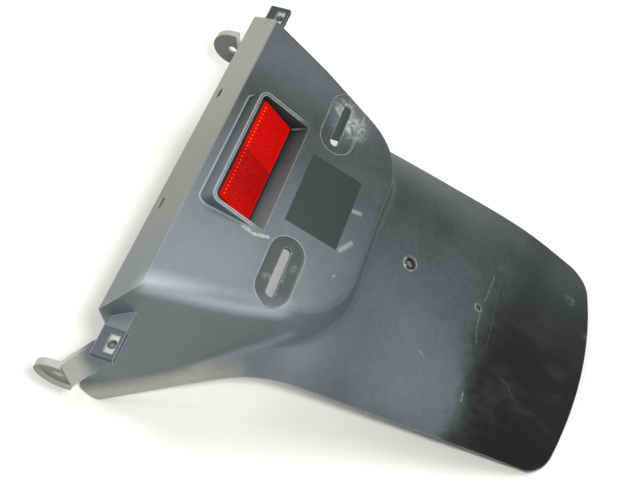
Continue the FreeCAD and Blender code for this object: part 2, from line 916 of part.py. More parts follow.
def reflector_base():
    """Tray behind the lens with a low bezel round it and two threaded studs on its back."""
    outer = doc.addObject("Part::Box", "tray")
    outer.setExpression("Length", "dims.lens_width + 2 * dims.bezel")
    outer.setExpression("Width", "dims.lens_height + 2 * dims.bezel")
    outer.setExpression("Height", "dims.base_depth - dims.bezel_step")
    outer.setExpression("Placement.Base.x", "-dims.lens_width / 2 - dims.bezel")
    outer.setExpression("Placement.Base.y", "-dims.lens_height / 2 - dims.bezel")
    outer.setExpression("Placement.Base.z", "-dims.base_depth")
    seat = doc.addObject("Part::Box", "lens_seat")
    seat.setExpression("Length", "dims.lens_width + 2 * dims.seat_clearance")
    seat.setExpression("Width", "dims.lens_height + 2 * dims.seat_clearance")
    seat.setExpression("Height", "dims.lens_thickness")
    seat.setExpression("Placement.Base.x", "-dims.lens_width / 2 - dims.seat_clearance")
    seat.setExpression("Placement.Base.y", "-dims.lens_height / 2 - dims.seat_clearance")
    seat.setExpression("Placement.Base.z", "-dims.lens_thickness")
    doc.recompute()

    def corner(points):
        return abs(points[0].z - points[2].z) > AT_POINT

    rounded = fillet("tray_round", outer, size("lens_corner_radius") + size("bezel"), corner)
    rounded_seat = fillet("seat_round", seat, size("lens_corner_radius") - size("seat_clearance"), corner)
    tray = cut("tray_with_seat", rounded, rounded_seat)
    studs = []
    for name, side in SIDES.items():
        stud = cylinder(f"stud_{name}", "dims.stud_diameter", "dims.stud_length", Placement())
        stud.setExpression("Placement.Base.x", f"{side} * dims.stud_pitch / 2")
        stud.setExpression("Placement.Base.z", "-dims.base_depth - dims.stud_length")
        studs.append(stud)
    base = fuse("reflector_base", tray, *studs)
    base.Placement = lens_placement()
    return base


# Clip nuts


def clip_nut(name, side):
    """U of sheet steel over a side tab: window in its top leg, threaded collar under its lower leg."""
    steel = size("clip_steel")
    play = size("clip_play")
    end = tab_end_x() + play + steel
    start = end - size("clip_length")
    low = size("tab_top_z") - size("wall") - play - steel
    near = size("tab_y") - size("clip_width") / 2

    def block(label, x_near, x_far, y_near, z_low, width, height):
        box = doc.addObject("Part::Box", f"clip_{label}_{name}")
        box.Length = x_far - x_near
        box.setExpression("Width", width)
        box.setExpression("Height", height)
        box.Placement = Placement(Vector(min(side * x_near, side * x_far), y_near, z_low), Rotation())
        return box

    inside = "dims.wall + 2 * dims.clip_play"
    outside = f"{inside} + 2 * dims.clip_steel"
    blank = block("blank", start, end, near, low, "dims.clip_width", outside)
    gap = block("gap", start - steel, end - steel, near, low + steel, "dims.clip_width", inside)
    window_near = bolt_x() - size("window_length") / 2
    window_far = window_near + size("window_length")
    window_y = bolt_y() - size("window_width") / 2
    top = low + steel + size("wall") + 2 * play
    window = block("window", window_near, window_far, window_y, top, "dims.window_width", "dims.clip_steel")
    doc.recompute()

    def bend(points):
        at_end = all(abs(abs(point.x) - end) < AT_POINT for point in points)
        return at_end and abs(points[0].y - points[2].y) > AT_POINT

    rounded = fillet(f"clip_bend_{name}", blank, size("clip_bend_radius"), bend)
    bolt = Vector(side * bolt_x(), bolt_y(), low - size("collar_height"))
    at = Placement(bolt, Rotation())
    collar = cylinder(f"clip_collar_{name}", "dims.collar_diameter", "dims.collar_height", at)
    depth = "dims.collar_height + dims.clip_steel"
    thread = cylinder(f"clip_thread_{name}", "dims.thread_diameter", depth, at)
    u_form = cut(f"clip_u_{name}", rounded, gap, window)
    return cut(f"clip_nut_{name}", fuse(f"clip_blank_collar_{name}", u_form, collar), thread)


def build():
    pieces = [guard_body(), reflector_base(), reflector_lens()]
    pieces += [clip_nut(name, side) for name, side in SIDES.items()]
    doc.recompute()
    for feature in doc.Objects:
        if "Invalid" in feature.State or "Error" in feature.State:
            raise RuntimeError(f"{feature.Name} did not build: {feature.State}")
    for piece in pieces:
        piece.Label = piece.Name
        if piece.Shape.isNull() or not piece.Shape.isValid() or len(piece.Shape.Solids) != 1:
            raise RuntimeError(f"{piece.Label} is not one valid solid")
    os.makedirs("parts", exist_ok=True)
    for piece in pieces:
        piece.Shape.exportStep(f"parts/{piece.Label}.step")


build()
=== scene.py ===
"""Looks of a rear splash guard: weathered plastic shell, red reflector, clip nuts and fasteners.

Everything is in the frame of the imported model, in metres: X runs across the guard, the tip of the
flap points to -Y, the open mouth to +Y, and Z is up from the table. Finishes take their places in
millimetres in that same frame.
"""

import json
import logging
import math
import random
from dataclasses import dataclass, field
from enum import Enum
from typing import Any, Sequence, Union

import bmesh
import bpy
from mathutils import Euler, Matrix, Vector


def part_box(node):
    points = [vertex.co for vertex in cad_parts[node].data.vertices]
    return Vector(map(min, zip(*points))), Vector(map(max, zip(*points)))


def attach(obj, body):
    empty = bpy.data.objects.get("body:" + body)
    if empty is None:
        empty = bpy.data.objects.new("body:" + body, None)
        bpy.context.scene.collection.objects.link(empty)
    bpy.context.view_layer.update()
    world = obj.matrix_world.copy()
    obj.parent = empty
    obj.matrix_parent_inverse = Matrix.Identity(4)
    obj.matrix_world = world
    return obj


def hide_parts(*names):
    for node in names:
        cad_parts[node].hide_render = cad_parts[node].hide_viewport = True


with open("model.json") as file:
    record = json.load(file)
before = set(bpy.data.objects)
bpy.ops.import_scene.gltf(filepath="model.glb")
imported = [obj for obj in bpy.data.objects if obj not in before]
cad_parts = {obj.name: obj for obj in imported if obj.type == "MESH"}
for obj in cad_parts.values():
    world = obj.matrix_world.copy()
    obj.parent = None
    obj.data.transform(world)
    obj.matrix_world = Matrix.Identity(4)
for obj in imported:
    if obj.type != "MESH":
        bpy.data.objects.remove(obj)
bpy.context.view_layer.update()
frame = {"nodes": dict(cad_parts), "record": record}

LOG = logging.getLogger("splash_guard")
MM = 0.001
SEAM_GAP = 0.001 * MM
BODY = "root"
SIDES = {"left": -1, "right": 1}
NOISE_MIDDLE = 0.5

Number = Union[float, "Value"]
Span = tuple[float, float]
Point = tuple[float, float, float]
Colour = tuple[float, float, float, float]


def linear(level: int) -> float:
    """Linear light of an 8-bit screen level."""
    share = level / 255
    return share / 12.92 if share <= 0.04045 else ((share + 0.055) / 1.055) ** 2.4


def srgb(red: int, green: int, blue: int) -> Colour:
    """Linear colour of an 8-bit screen colour."""
    return linear(red), linear(green), linear(blue), 1.0


class Slot(str, Enum):
    """Material slots of the record."""

    GUARD = "guard_plastic"
    BLACK = "reflector_black"
    RED = "reflector_red"
    ZINC = "zinc_steel"
    CLIP = "clip_steel"


# Node trees


class Value:
    """A number socket of a material's tree, with the usual sums."""

    def __init__(self, shader: "Shader", socket: bpy.types.NodeSocket) -> None:
        """Wrap a socket of the shader's tree."""
        self.shader = shader
        self.socket = socket

    def __add__(self, other: Number) -> "Value":
        """Sum of this and another."""
        return self.shader.maths("ADD", self, other)

    def __sub__(self, other: Number) -> "Value":
        """This less another."""
        return self.shader.maths("SUBTRACT", self, other)

    def __mul__(self, other: Number) -> "Value":
        """Product of this and another."""
        return self.shader.maths("MULTIPLY", self, other)

    def __radd__(self, other: Number) -> "Value":
        """Sum of a number and this."""
        return self.shader.maths("ADD", other, self)

    def __rsub__(self, other: Number) -> "Value":
        """A number less this."""
        return self.shader.maths("SUBTRACT", other, self)

    def __rmul__(self, other: Number) -> "Value":
        """Product of a number and this."""
        return self.shader.maths("MULTIPLY", other, self)

    def __abs__(self) -> "Value":
        """This without its sign."""
        return self.shader.maths("ABSOLUTE", self)

    def most(self, other: Number) -> "Value":
        """The larger of the two."""
        return self.shader.maths("MAXIMUM", self, other)

    def least(self, other: Number) -> "Value":
        """The smaller of the two."""
        return self.shader.maths("MINIMUM", self, other)

    def over(self, start: float, end: float) -> "Value":
        """Soft step from nought at start to one at end, either way round.

        Args:
            start: Value at which the step is nought.
            end: Value at which the step is one.

        Returns:
            The step as a number from nought to one.
        """
        node = self.shader.add(
            "ShaderNodeMapRange",
            {"interpolation_type": "SMOOTHSTEP"},
            {"Value": self, "From Min": start, "From Max": end},
        )
        return Value(self.shader, node.outputs["Result"])


class Tree:
    """A node tree that one method fills."""

    def __init__(self, tree: bpy.types.NodeTree) -> None:
        """Take up a node tree."""
        self.tree = tree

    def add(
        self,
        kind: str,
        settings: dict[str, Any] | None = None,
        inputs: dict[str | int, Any] | None = None,
    ) -> bpy.types.Node:
        """Add one node to the tree.

        Args:
            kind: Blender's name of the node type.
            settings: Properties of the node, which are set first.
            inputs: Numbers, vectors, colours, sockets or values for the named inputs.

        Returns:
            The node.
        """
        node = self.tree.nodes.new(kind)
        for name, setting in (settings or {}).items():
            setattr(node, name, setting)
        for name, given in (inputs or {}).items():
            socket = given.socket if isinstance(given, Value) else given
            if isinstance(socket, bpy.types.NodeSocket):
                self.tree.links.new(socket, node.inputs[name])
            else:
                node.inputs[name].default_value = socket
        return node


@dataclass(frozen=True)
class Noise:
    """A cloudy noise: features in a millimetre, octaves, weight of the finer ones, and stretch."""

    per_mm: float
    detail: float = 3.0
    rough: float = 0.5
    stretch: Point = (1, 1, 1)


class Shader(Tree):
    """Node tree of one material, read in millimetres of the object's own frame."""

    BEVEL_SAMPLES = 4
    EDGE_TURN: Span = (0.995, 0.86)

    def __init__(self, name: str) -> None:
        """Start a material with the places and the facing that its masks read."""
        self.material = bpy.data.materials.new(name)
        self.material.use_nodes = True
        super().__init__(self.material.node_tree)
        self.tree.nodes.clear()
        source = self.add("ShaderNodeTexCoord")
        self.place = self.scaled(source.outputs["Object"], 1 / MM)
        self.x, self.y, self.z = self.parts(self.place)
        folded = self.add(
            "ShaderNodeCombineXYZ", inputs={"X": abs(self.x), "Y": self.y, "Z": self.z}
        )
        self.folded = folded.outputs["Vector"]
        self.sideways = abs(self.parts(source.outputs["Normal"])[0])

    def maths(self, operation: str, first: Number, second: Number = 0.0) -> Value:
        """One sum of two numbers or values."""
        node = self.add("ShaderNodeMath", {"operation": operation}, {0: first, 1: second})
        return Value(self, node.outputs["Value"])

    def vector(self, operation: str, first: Any, second: Any) -> bpy.types.Node:
        """One sum of two vectors."""
        return self.add("ShaderNodeVectorMath", {"operation": operation}, {0: first, 1: second})

    def scaled(self, vector: Any, factor: Number) -> bpy.types.NodeSocket:
        """A vector drawn out by a factor."""
        inputs = {0: vector, "Scale": factor}
        return self.add("ShaderNodeVectorMath", {"operation": "SCALE"}, inputs).outputs["Vector"]

    def parts(self, vector: bpy.types.NodeSocket) -> tuple[Value, ...]:
        """The three parts of a vector."""
        axes = self.add("ShaderNodeSeparateXYZ", inputs={"Vector": vector})
        return tuple(Value(self, axes.outputs[axis]) for axis in "XYZ")

    def mix(self, share: Number, first: Any, second: Any) -> bpy.types.NodeSocket:
        """Blend of two colours by a share from nought to one."""
        node = self.add("ShaderNodeMix", {"data_type": "RGBA"}, {0: share, 6: first, 7: second})
        return node.outputs[2]

    def noise(self, noise: Noise) -> Value:
        """Cloudy noise around a half.

        Args:
            noise: Fineness and stretch of the noise.

        Returns:
            The noise, from nought to one.
        """
        drawn = self.vector("MULTIPLY", self.place, noise.stretch)
        node = self.add(
            "ShaderNodeTexNoise",
            inputs={
                "Vector": drawn.outputs["Vector"],
                "Scale": noise.per_mm,
                "Detail": noise.detail,
                "Roughness": noise.rough,
            },
        )
        return Value(self, node.outputs["Fac"])

    def cells(self, per_mm: float) -> Value:
        """Distance to the nearest of scattered points, in cells."""
        node = self.add("ShaderNodeTexVoronoi", inputs={"Vector": self.place, "Scale": per_mm})
        return Value(self, node.outputs["Distance"])

    def distance(self, point: Point) -> Value:
        """Distance in millimetres from a point."""
        return Value(self, self.vector("DISTANCE", self.place, point).outputs["Value"])

    def line(self, start: Point, end: Point, place: bpy.types.NodeSocket) -> Value:
        """Distance in millimetres from a straight line.

        Args:
            start: One end of the line.
            end: The other end.
            place: Place that is measured.

        Returns:
            The distance from the nearest point of the line.
        """
        run = Vector(end) - Vector(start)
        offset = self.vector("SUBTRACT", place, start).outputs["Vector"]
        along = self.vector("DOT_PRODUCT", offset, tuple(run / run.length_squared))
        share = Value(self, along.outputs["Value"]).most(0.0).least(1.0)
        foot = self.scaled(tuple(run), share)
        return Value(self, self.vector("DISTANCE", offset, foot).outputs["Value"])

    def path(self, points: Sequence[Point], place: bpy.types.NodeSocket | None = None) -> Value:
        """Distance in millimetres from a run of straight lines.

        Args:
            points: Ends of the lines, in order.
            place: Place that is measured; the surface's own when left out.

        Returns:
            The distance from the nearest line.
        """
        where = place or self.place
        gaps = [self.line(start, end, where) for start, end in zip(points, points[1:])]
        nearest = gaps[0]
        for gap in gaps[1:]:
            nearest = nearest.least(gap)
        return nearest

    def soft_normal(self, radius_mm: float) -> bpy.types.NodeSocket:
        """Normal that rounds the sharp edges of the mesh."""
        settings = {"samples": self.BEVEL_SAMPLES}
        return self.add("ShaderNodeBevel", settings, {"Radius": radius_mm * MM}).outputs["Normal"]

    def edges(self, radius_mm: float) -> Value:
        """Where the sharp edges of the mesh are.

        Args:
            radius_mm: How far from the edge the mask reaches.

        Returns:
            One along the edges, and nought away from them.
        """
        true = self.add("ShaderNodeNewGeometry").outputs["Normal"]
        turn = self.vector("DOT_PRODUCT", self.soft_normal(radius_mm), true)
        return Value(self, turn.outputs["Value"]).over(*self.EDGE_TURN)

    def bump(self, height: Value, depth_mm: float, radius_mm: float) -> bpy.types.NodeSocket:
        """Relief of a depth over the mesh with its sharp edges rounded.

        Args:
            height: Relief, from nought to one.
            depth_mm: Depth of the relief.
            radius_mm: Radius of the rounded edges.

        Returns:
            The normal of the relief.
        """
        normal = self.soft_normal(radius_mm)
        inputs = {"Distance": depth_mm * MM, "Height": height, "Normal": normal}
        return self.add("ShaderNodeBump", inputs=inputs).outputs["Normal"]

    def finish(self, inputs: dict[str, Any]) -> bpy.types.Material:
        """Close the tree with a principled surface.

        Args:
            inputs: Values for the surface's named inputs.

        Returns:
            The finished material.
        """
        surface = self.add("ShaderNodeBsdfPrincipled", inputs=inputs)
        self.add("ShaderNodeOutputMaterial", inputs={"Surface": surface.outputs["BSDF"]})
        return self.material


# Marks of wear, and of painted light and shade, on the plastic. Spans are the places where a mask
# is nought and where it is one.


@dataclass(frozen=True)
class Mark:
    """A run on the plastic: a worn scratch or scrape, or a band of painted light.

    Ragged is the share of a scratch or scrape that the grit breaks up.
    """

    points: tuple[Point, ...]
    width: float
    strength: float
    ragged: float = 1.0


@dataclass(frozen=True)
class Spot:
    """A worn or clouded patch on the plastic."""

    centre: Point
    radius: float
    strength: float


class PlasticShader(Shader):
    """Shader of the plastic, with the noises that its masks share."""

    CLOUD = Noise(0.017, 4.0, 0.6)
    MOTTLE = Noise(0.22, 5.0, 0.65)
    GRIT = Noise(0.9, 2.0, 0.6)

    def __init__(self, name: str) -> None:
        """Start the material and lay in the noises."""
        super().__init__(name)
        self.cloud = self.noise(self.CLOUD)
        self.mottle = self.noise(self.MOTTLE)
        self.grit = self.noise(self.GRIT)

    def mottled(self, base: float, gain: float) -> Value:
        """Share that the mottle breaks up, at most one."""
        return (base + gain * self.mottle).least(1.0)

    def band(self, mark: Mark) -> Value:
        """Soft band along a mark, on both halves of the guard."""
        return self.path(mark.points, self.folded).over(mark.width, 0.0) * mark.strength


@dataclass(frozen=True)
class BleachAndLight:
    """Sun bleaching, most on the housing and to its left, with painted light and shade: part of the
    left-side lightness, a sheen on the right edge, shade on the left side walls.
    """

    base: float = 0.17
    side: Span = (70.0, -95.0)
    lit_side_gain: float = 0.24
    housing: Span = (-22.0, 26.0)
    housing_lit_side_gain: float = 0.5
    housing_loss: float = 0.06
    tip: Span = (-70.0, -150.0)
    tip_loss: float = 0.14
    far_edge_sheen: Span = (50.0, 100.0)
    far_edge_sheen_gain: float = 0.16
    wall_turn: Span = (0.55, 0.85)
    wall_side: Span = (0.0, -80.0)
    wall_shade: float = 0.3
    cloud_gain: float = 0.4
    mottle_gain: float = 0.24
    grit_gain: float = 0.3
    hazes: tuple[Spot, ...] = (
        Spot((-71.9, -60.0, 74.0), 62.0, 0.2),
        Spot((-20.0, -52.0, 90.0), 50.0, 0.06),
        Spot((76.0, 34.0, 151.0), 26.0, 0.4),
        Spot((78.0, -168.0, 12.0), 40.0, 0.14),
    )

    def mask(self, shader: PlasticShader) -> Value:
        """How far the plastic is bleached, painted light and shade included.

        Args:
            shader: Shader of the plastic.

        Returns:
            The share of the faded colour, which also paints the light.
        """
        # Lighter towards the left side: real bleaching with painted light on top.
        side = shader.x.over(*self.side)
        housing = shader.y.over(*self.housing)
        # Painted shade on the housing's left side walls, which face sideways.
        shaded_walls = housing * shader.sideways.over(*self.wall_turn) * shader.x.over(*self.wall_side)
        # Painted sheen along the right edge.
        far_edge_sheen = shader.x.over(*self.far_edge_sheen) * (1.0 + housing)
        haze_and_light = self.base + self.lit_side_gain * side
        haze_and_light += housing * (self.housing_lit_side_gain * side - self.housing_loss)
        haze_and_light -= self.tip_loss * shader.y.over(*self.tip)
        haze_and_light += self.far_edge_sheen_gain * far_edge_sheen - self.wall_shade * shaded_walls
        for spot in self.hazes:
            haze_and_light += shader.distance(spot.centre).over(spot.radius, 0.0) * spot.strength
        noises = (
            (self.cloud_gain, shader.cloud),
            (self.mottle_gain, shader.mottle),
            (self.grit_gain, shader.grit),
        )
        for gain, noise in noises:
            haze_and_light += gain * (noise - NOISE_MIDDLE)
        return haze_and_light.most(0.0).least(1.0)


@dataclass(frozen=True)
class OilStain:
    """Dark, glossier lower part of the flap, with a ragged border, deepest on its left side."""

    oiled: Colour = srgb(18, 21, 18)
    smeared: Colour = srgb(52, 56, 51)
    border: Span = (-96.0, -134.0)
    lean: float = 0.12
    cloud_reach: float = 50.0
    mottle_reach: float = 10.0
    left: Span = (70.0, -30.0)
    right_share: float = 0.3
    mottled: Span = (0.9, 0.2)
    streaks: Noise = Noise(0.06, 5.0, 0.6, (1.0, 0.4, 0.6))
    streak_step: Span = (0.46, 0.72)
    streak_strength: float = 0.4

    def mask(self, shader: PlasticShader) -> Value:
        """How oily the plastic is.

        Args:
            shader: Shader of the plastic.

        Returns:
            The share of the oily colour.
        """
        border = shader.y + self.lean * shader.x
        border += self.cloud_reach * (shader.cloud - NOISE_MIDDLE)
        border += self.mottle_reach * (shader.mottle - NOISE_MIDDLE)
        left = self.right_share + (1 - self.right_share) * shader.x.over(*self.left)
        return border.over(*self.border) * left * shader.mottled(*self.mottled)

    def colour(self, shader: PlasticShader) -> bpy.types.NodeSocket:
        """Colour of the oily plastic, with paler streaks."""
        streaks = shader.noise(self.streaks).over(*self.streak_step)
        return shader.mix(streaks * self.streak_strength, self.oiled, self.smeared)


@dataclass(frozen=True)
class PlateFace:
    """Sloping face of the lower plate, measured from the row of its slots."""

    y: float = 38.1
    z: float = 154.7
    degrees: float = 29.4

    def axes(self, shader: Shader) -> tuple[Value, Value]:
        """Place on the face.

        Args:
            shader: Shader of the plastic.

        Returns:
            The place up the slope, and out of the face.
        """
        lean = math.radians(self.degrees)
        along_y = shader.y - self.y
        along_z = shader.z - self.z
        up = along_y * math.cos(lean) + along_z * math.sin(lean)
        out = along_z * math.cos(lean) - along_y * math.sin(lean)
        return up, out


@dataclass(frozen=True)
class FreshPanel:
    """Crisp rectangle of unfaded plastic on the outer face of the lower plate."""

    face: PlateFace = PlateFace()
    half_width: float = 31.6
    above: float = 12.1
    below: float = 32.5
    soft: float = 0.3
    skin: Span = (-1.2, -0.6)

    def mask(self, shader: Shader) -> Value:
        """Where the rectangle is.

        Args:
            shader: Shader of the plastic.

        Returns:
            One inside the rectangle, and nought outside it.
        """
        up, out = self.face.axes(shader)
        sides = abs(shader.x).over(self.half_width + self.soft, self.half_width - self.soft)
        top = up.over(self.above + self.soft, self.above - self.soft)
        bottom = up.over(-self.below - self.soft, -self.below + self.soft)
        return sides * top * bottom * out.over(*self.skin)


@dataclass(frozen=True)
class PlateSlots:
    """Oval recesses of the plate slots: dark floors, worn rims and chips round the slots."""

    face: PlateFace = PlateFace()
    middle: float = 70.0
    slot_run: float = 17.0
    slot_radius: float = 3.5
    recess_run: float = 14.0
    recess_radius: float = 14.0
    recess_soft: float = 1.0
    floor_level: Span = (-0.8, -1.92)
    floor_side: Span = (20.0, -20.0)
    floor_strength: float = 0.7
    rim_line: Span = (1.5, 0.3)
    rim_level: Span = (-2.4, -0.4)
    rim_break: Span = (0.35, 0.7)
    rim_base: float = 0.5
    rim_gain: float = 0.8
    chip_reach: float = 5.0
    chip_break: Span = (0.56, 0.66)
    chip_side: Span = (-40.0, 40.0)
    chip_base: float = 0.3
    chip_gain: float = 0.35

    def gap(self, shader: Shader, run: float) -> Value:
        """Distance from a line that reaches a run to either side of a slot's middle."""
        ends = [(self.middle + side * run, self.face.y, self.face.z) for side in SIDES.values()]
        return shader.path(ends, shader.folded)

    def recess(self, shader: PlasticShader) -> tuple[Value, Value]:
        """Floors and rims of the recesses.

        Args:
            shader: Shader of the plastic.

        Returns:
            The masks of the dark floors and of the worn rims.
        """
        _, out = self.face.axes(shader)
        gap = self.gap(shader, self.recess_run)
        inside = gap.over(self.recess_radius + self.recess_soft, self.recess_radius)
        floor = inside * out.over(*self.floor_level) * shader.x.over(*self.floor_side)
        line = abs(gap - self.recess_radius).over(*self.rim_line) * out.over(*self.rim_level)
        broken = (self.rim_base + self.rim_gain * shader.mottle.over(*self.rim_break)).least(1.0)
        return floor * self.floor_strength, line * broken

    def chips(self, shader: PlasticShader) -> Value:
        """Chips round the slots.

        Args:
            shader: Shader of the plastic.

        Returns:
            The mask of the chips, stronger on the right.
        """
        gap = self.gap(shader, self.slot_run)
        near = gap.over(self.slot_radius + self.chip_reach, self.slot_radius)
        side = self.chip_base + self.chip_gain * shader.x.over(*self.chip_side)
        return near * shader.mottle.over(*self.chip_break) * side


@dataclass(frozen=True)
class PocketRimHighlight:
    """Painted highlight along the upper and side edges of the reflector's pocket."""

    radius: float = 2.6
    half_width: Span = (66.0, 62.0)
    lower_end: Span = (62.0, 68.0)
    upper_end: Span = (111.0, 108.0)
    mottled: Span = (0.35, 0.6)
    strength: float = 0.9

    def mask(self, shader: PlasticShader) -> Value:
        """Where the edges get the painted highlight.

        Args:
            shader: Shader of the plastic.

        Returns:
            The share of the highlight's colour.
        """
        around = abs(shader.x).over(*self.half_width)
        around *= shader.y.over(*self.lower_end) * shader.y.over(*self.upper_end)
        return shader.edges(self.radius) * around * shader.mottled(*self.mottled) * self.strength


@dataclass(frozen=True)
class Dimple:
    """Torn dimple round the upper hole of the flap, with painted shade for its dark hole, and its
    pale ring.
    """

    centre: Point = (0.0, -40.4, 97.2)
    radius: float = 6.0
    ragged: float = 2.4
    soft: float = 1.2
    strength: float = 0.9
    ring_line: Span = (1.3, 0.3)
    ring_break: Span = (0.42, 0.6)
    ring_base: float = 0.1
    ring_gain: float = 0.5

    def masks(self, shader: PlasticShader) -> tuple[Value, Value]:
        """Inside and ring of the dimple.

        Args:
            shader: Shader of the plastic.

        Returns:
            The masks of the painted shade inside and of the pale ring.
        """
        gap = shader.distance(self.centre) + self.ragged * (shader.mottle - NOISE_MIDDLE)
        # Painted shade inside the dimple, standing in for the dark hole.
        inside = gap.over(self.radius, self.radius - self.soft)
        broken = self.ring_base + self.ring_gain * shader.mottle.over(*self.ring_break)
        return inside, abs(gap - self.radius).over(*self.ring_line) * broken


@dataclass(frozen=True)
class ChalkAndSheenStrip:
    """Sun-bleached, chalky face of the top strip with a painted sheen, palest on the right."""

    ridge_y: float = 112.2
    ridge_z: float = 188.87
    fall_degrees: float = 37.7
    skin: Span = (-1.4, -0.4)
    past_ridge: Span = (-1.0, 1.5)
    side: Span = (-150.0, 110.0)
    left_share: float = 0.2
    mottled: Span = (0.75, 0.4)

    def mask(self, shader: PlasticShader) -> Value:
        """How chalky the strip is, with its painted sheen.

        Args:
            shader: Shader of the plastic.

        Returns:
            The share of the chalky colour, which also paints the sheen.
        """
        fall = math.radians(self.fall_degrees)
        along_y = shader.y - self.ridge_y
        out = along_y * math.sin(fall) + (shader.z - self.ridge_z) * math.cos(fall)
        strip = out.over(*self.skin) * along_y.over(*self.past_ridge)
        side = self.left_share + (1 - self.left_share) * shader.x.over(*self.side)
        return strip * side * shader.mottled(*self.mottled)


@dataclass(frozen=True)
class SheenBands:
    """Painted sheen in bands along the rounded left side of the housing and the flare under it."""

    bend: Mark = Mark(
        (
            (124.6, 108.0, 184.5),
            (114.0, 79.0, 167.0),
            (104.6, 54.5, 152.5),
            (97.2, 36.5, 145.5),
            (94.0, 29.0, 143.0),
        ),
        15.0,
        0.9,
    )
    bend_end: Span = (8.0, 36.0)
    flare: Mark = Mark(
        (
            (122.8, 90.1, 66.1),
            (116.9, 75.9, 76.4),
            (109.0, 58.0, 88.4),
            (101.0, 40.7, 97.6),
            (93.8, 24.2, 109.3),
        ),
        8.0,
        0.3,
    )
    left: Span = (40.0, -40.0)
    mottled: Span = (0.7, 0.4)

    def mask(self, shader: PlasticShader) -> Value:
        """Where the painted sheen bands are.

        Args:
            shader: Shader of the plastic.

        Returns:
            The share of the sheen's colour.
        """
        bend = shader.band(self.bend) * shader.y.over(*self.bend_end)
        bands = bend.most(shader.band(self.flare))
        return bands * shader.x.over(*self.left) * shader.mottled(*self.mottled)


@dataclass(frozen=True)
class LitPalePlaces:
    """Painted light on the palest places, with some real bleaching: the turned skirt, the webs of
    the ears and the tabs in the clips' windows.
    """

    skirt: Mark = Mark(
        (
            (149.0, 182.0, 2.0),
            (142.5, 153.2, 17.0),
            (133.5, 118.9, 38.0),
            (125.0, 86.5, 58.5),
            (120.5, 56.0, 75.0),
        ),
        19.0,
        1.0,
    )
    skirt_end: Span = (22.0, 96.0)
    web_y: Span = (156.0, 164.0)
    web_z: Span = (64.0, 76.0)
    web_turn: Span = (0.7, 0.95)
    web_loss: float = 0.7
    tab_middle: Span = (160.5, 124.0)
    tab_half_size: Span = (7.4, 4.0)
    tab_soft: float = 0.4
    tab_z: Span = (120.0, 140.0)
    mottled: Span = (0.65, 0.5)

    def mask(self, shader: PlasticShader) -> Value:
        """Where the plastic is palest, mostly from painted light.

        Args:
            shader: Shader of the plastic.

        Returns:
            The share of the pale colour.
        """
        skirt = shader.band(self.skirt) * shader.y.over(*self.skirt_end)
        # Webs are paler where they face out than sideways: painted light.
        outward = 1.0 - self.web_loss * shader.sideways.over(*self.web_turn)
        webs = shader.y.over(*self.web_y) * shader.z.over(*self.web_z) * outward
        tabs = shader.z.over(*self.tab_z)
        places = (abs(shader.x), shader.y)
        for place, middle, half in zip(places, self.tab_middle, self.tab_half_size):
            tabs *= abs(place - middle).over(half, half - self.tab_soft)
        return skirt.most(webs).most(tabs) * shader.mottled(*self.mottled)


@dataclass(frozen=True)
class Wear:
    """Scratches, scrapes and clouded patches."""

    marks: tuple[Mark, ...] = (
        Mark(((35.6, -105.9, 56.6), (25.6, -105.0, 58.1), (10.3, -104.1, 59.7)), 0.8, 0.25),
        Mark(((-4.0, -103.0, 60.5), (-14.2, -102.9, 60.2), (-28.2, -106.0, 57.2)), 0.7, 0.22),
        Mark(
            (
                (32.3, -111.7, 53.5),
                (9.3, -112.4, 54.7),
                (-10.0, -114.3, 53.5),
                (-27.4, -114.3, 52.4),
            ),
            0.6,
            0.1,
        ),
        Mark(((-42.7, -130.4, 41.3), (-44.3, -137.9, 36.6), (-52.0, -145.0, 31.5)), 0.8, 0.08),
        Mark(((-68.4, -106.8, 50.1), (-75.2, -107.2, 48.2)), 0.9, 0.36),
        Mark(((-57.8, -65.7, 75.2), (-59.5, -71.2, 71.7)), 0.7, 0.3),
        Mark(((-53.8, 71.2, 172.2), (-55.3, 62.6, 168.5), (-51.6, 53.8, 163.5)), 2.0, 0.75),
        Mark(((-30.0, 7.5, 137.4), (-19.5, 1.7, 134.1)), 3.0, 0.4, 0.5),
        Mark(((6.0, 8.0, 137.7), (7.2, 3.4, 135.2)), 2.8, 0.42, 0.4),
        Mark(((-49.9, 4.1, 135.6), (-52.5, 5.5, 136.2)), 1.2, 0.5),
    )
    mark_core: float = 0.3
    broken: Span = (0.34, 0.62)
    spots: tuple[Spot, ...] = (
        Spot((60.5, -172.6, 14.5), 8.0, 0.22),
        Spot((33.1, -192.0, 8.4), 3.0, 0.7),
        Spot((0.0, -99.6, 61.2), 4.8, 0.9),
        Spot((74.0, 30.0, 149.0), 15.0, 1.5),
        Spot((86.0, 42.0, 154.7), 12.0, 1.3),
        Spot((-62.0, 30.0, 150.0), 6.0, 0.6),
        Spot((-78.0, 45.0, 156.5), 5.0, 0.5),
    )
    spot_core: float = 0.25
    spot_strength: float = 0.7
    rough: Span = (0.4, 0.7)
    most: float = 0.9

    def mask(self, shader: PlasticShader, worn: Value) -> Value:
        """How worn the plastic is.

        Args:
            shader: Shader of the plastic.
            worn: Wear that is there already.

        Returns:
            The share of the scuffed colour.
        """
        broken = shader.grit.over(*self.broken)
        rough = shader.mottle.over(*self.rough) * self.spot_strength
        for mark in self.marks:
            core = mark.width * mark.ragged * self.mark_core
            line = shader.path(mark.points).over(mark.width, core) * mark.strength
            worn = worn.most(line * (1.0 - mark.ragged * (1.0 - broken)))
        for spot in self.spots:
            patch = shader.distance(spot.centre).over(spot.radius, spot.radius * self.spot_core)
            worn = worn.most(patch * rough * spot.strength)
        return worn.least(self.most)


# Finishes


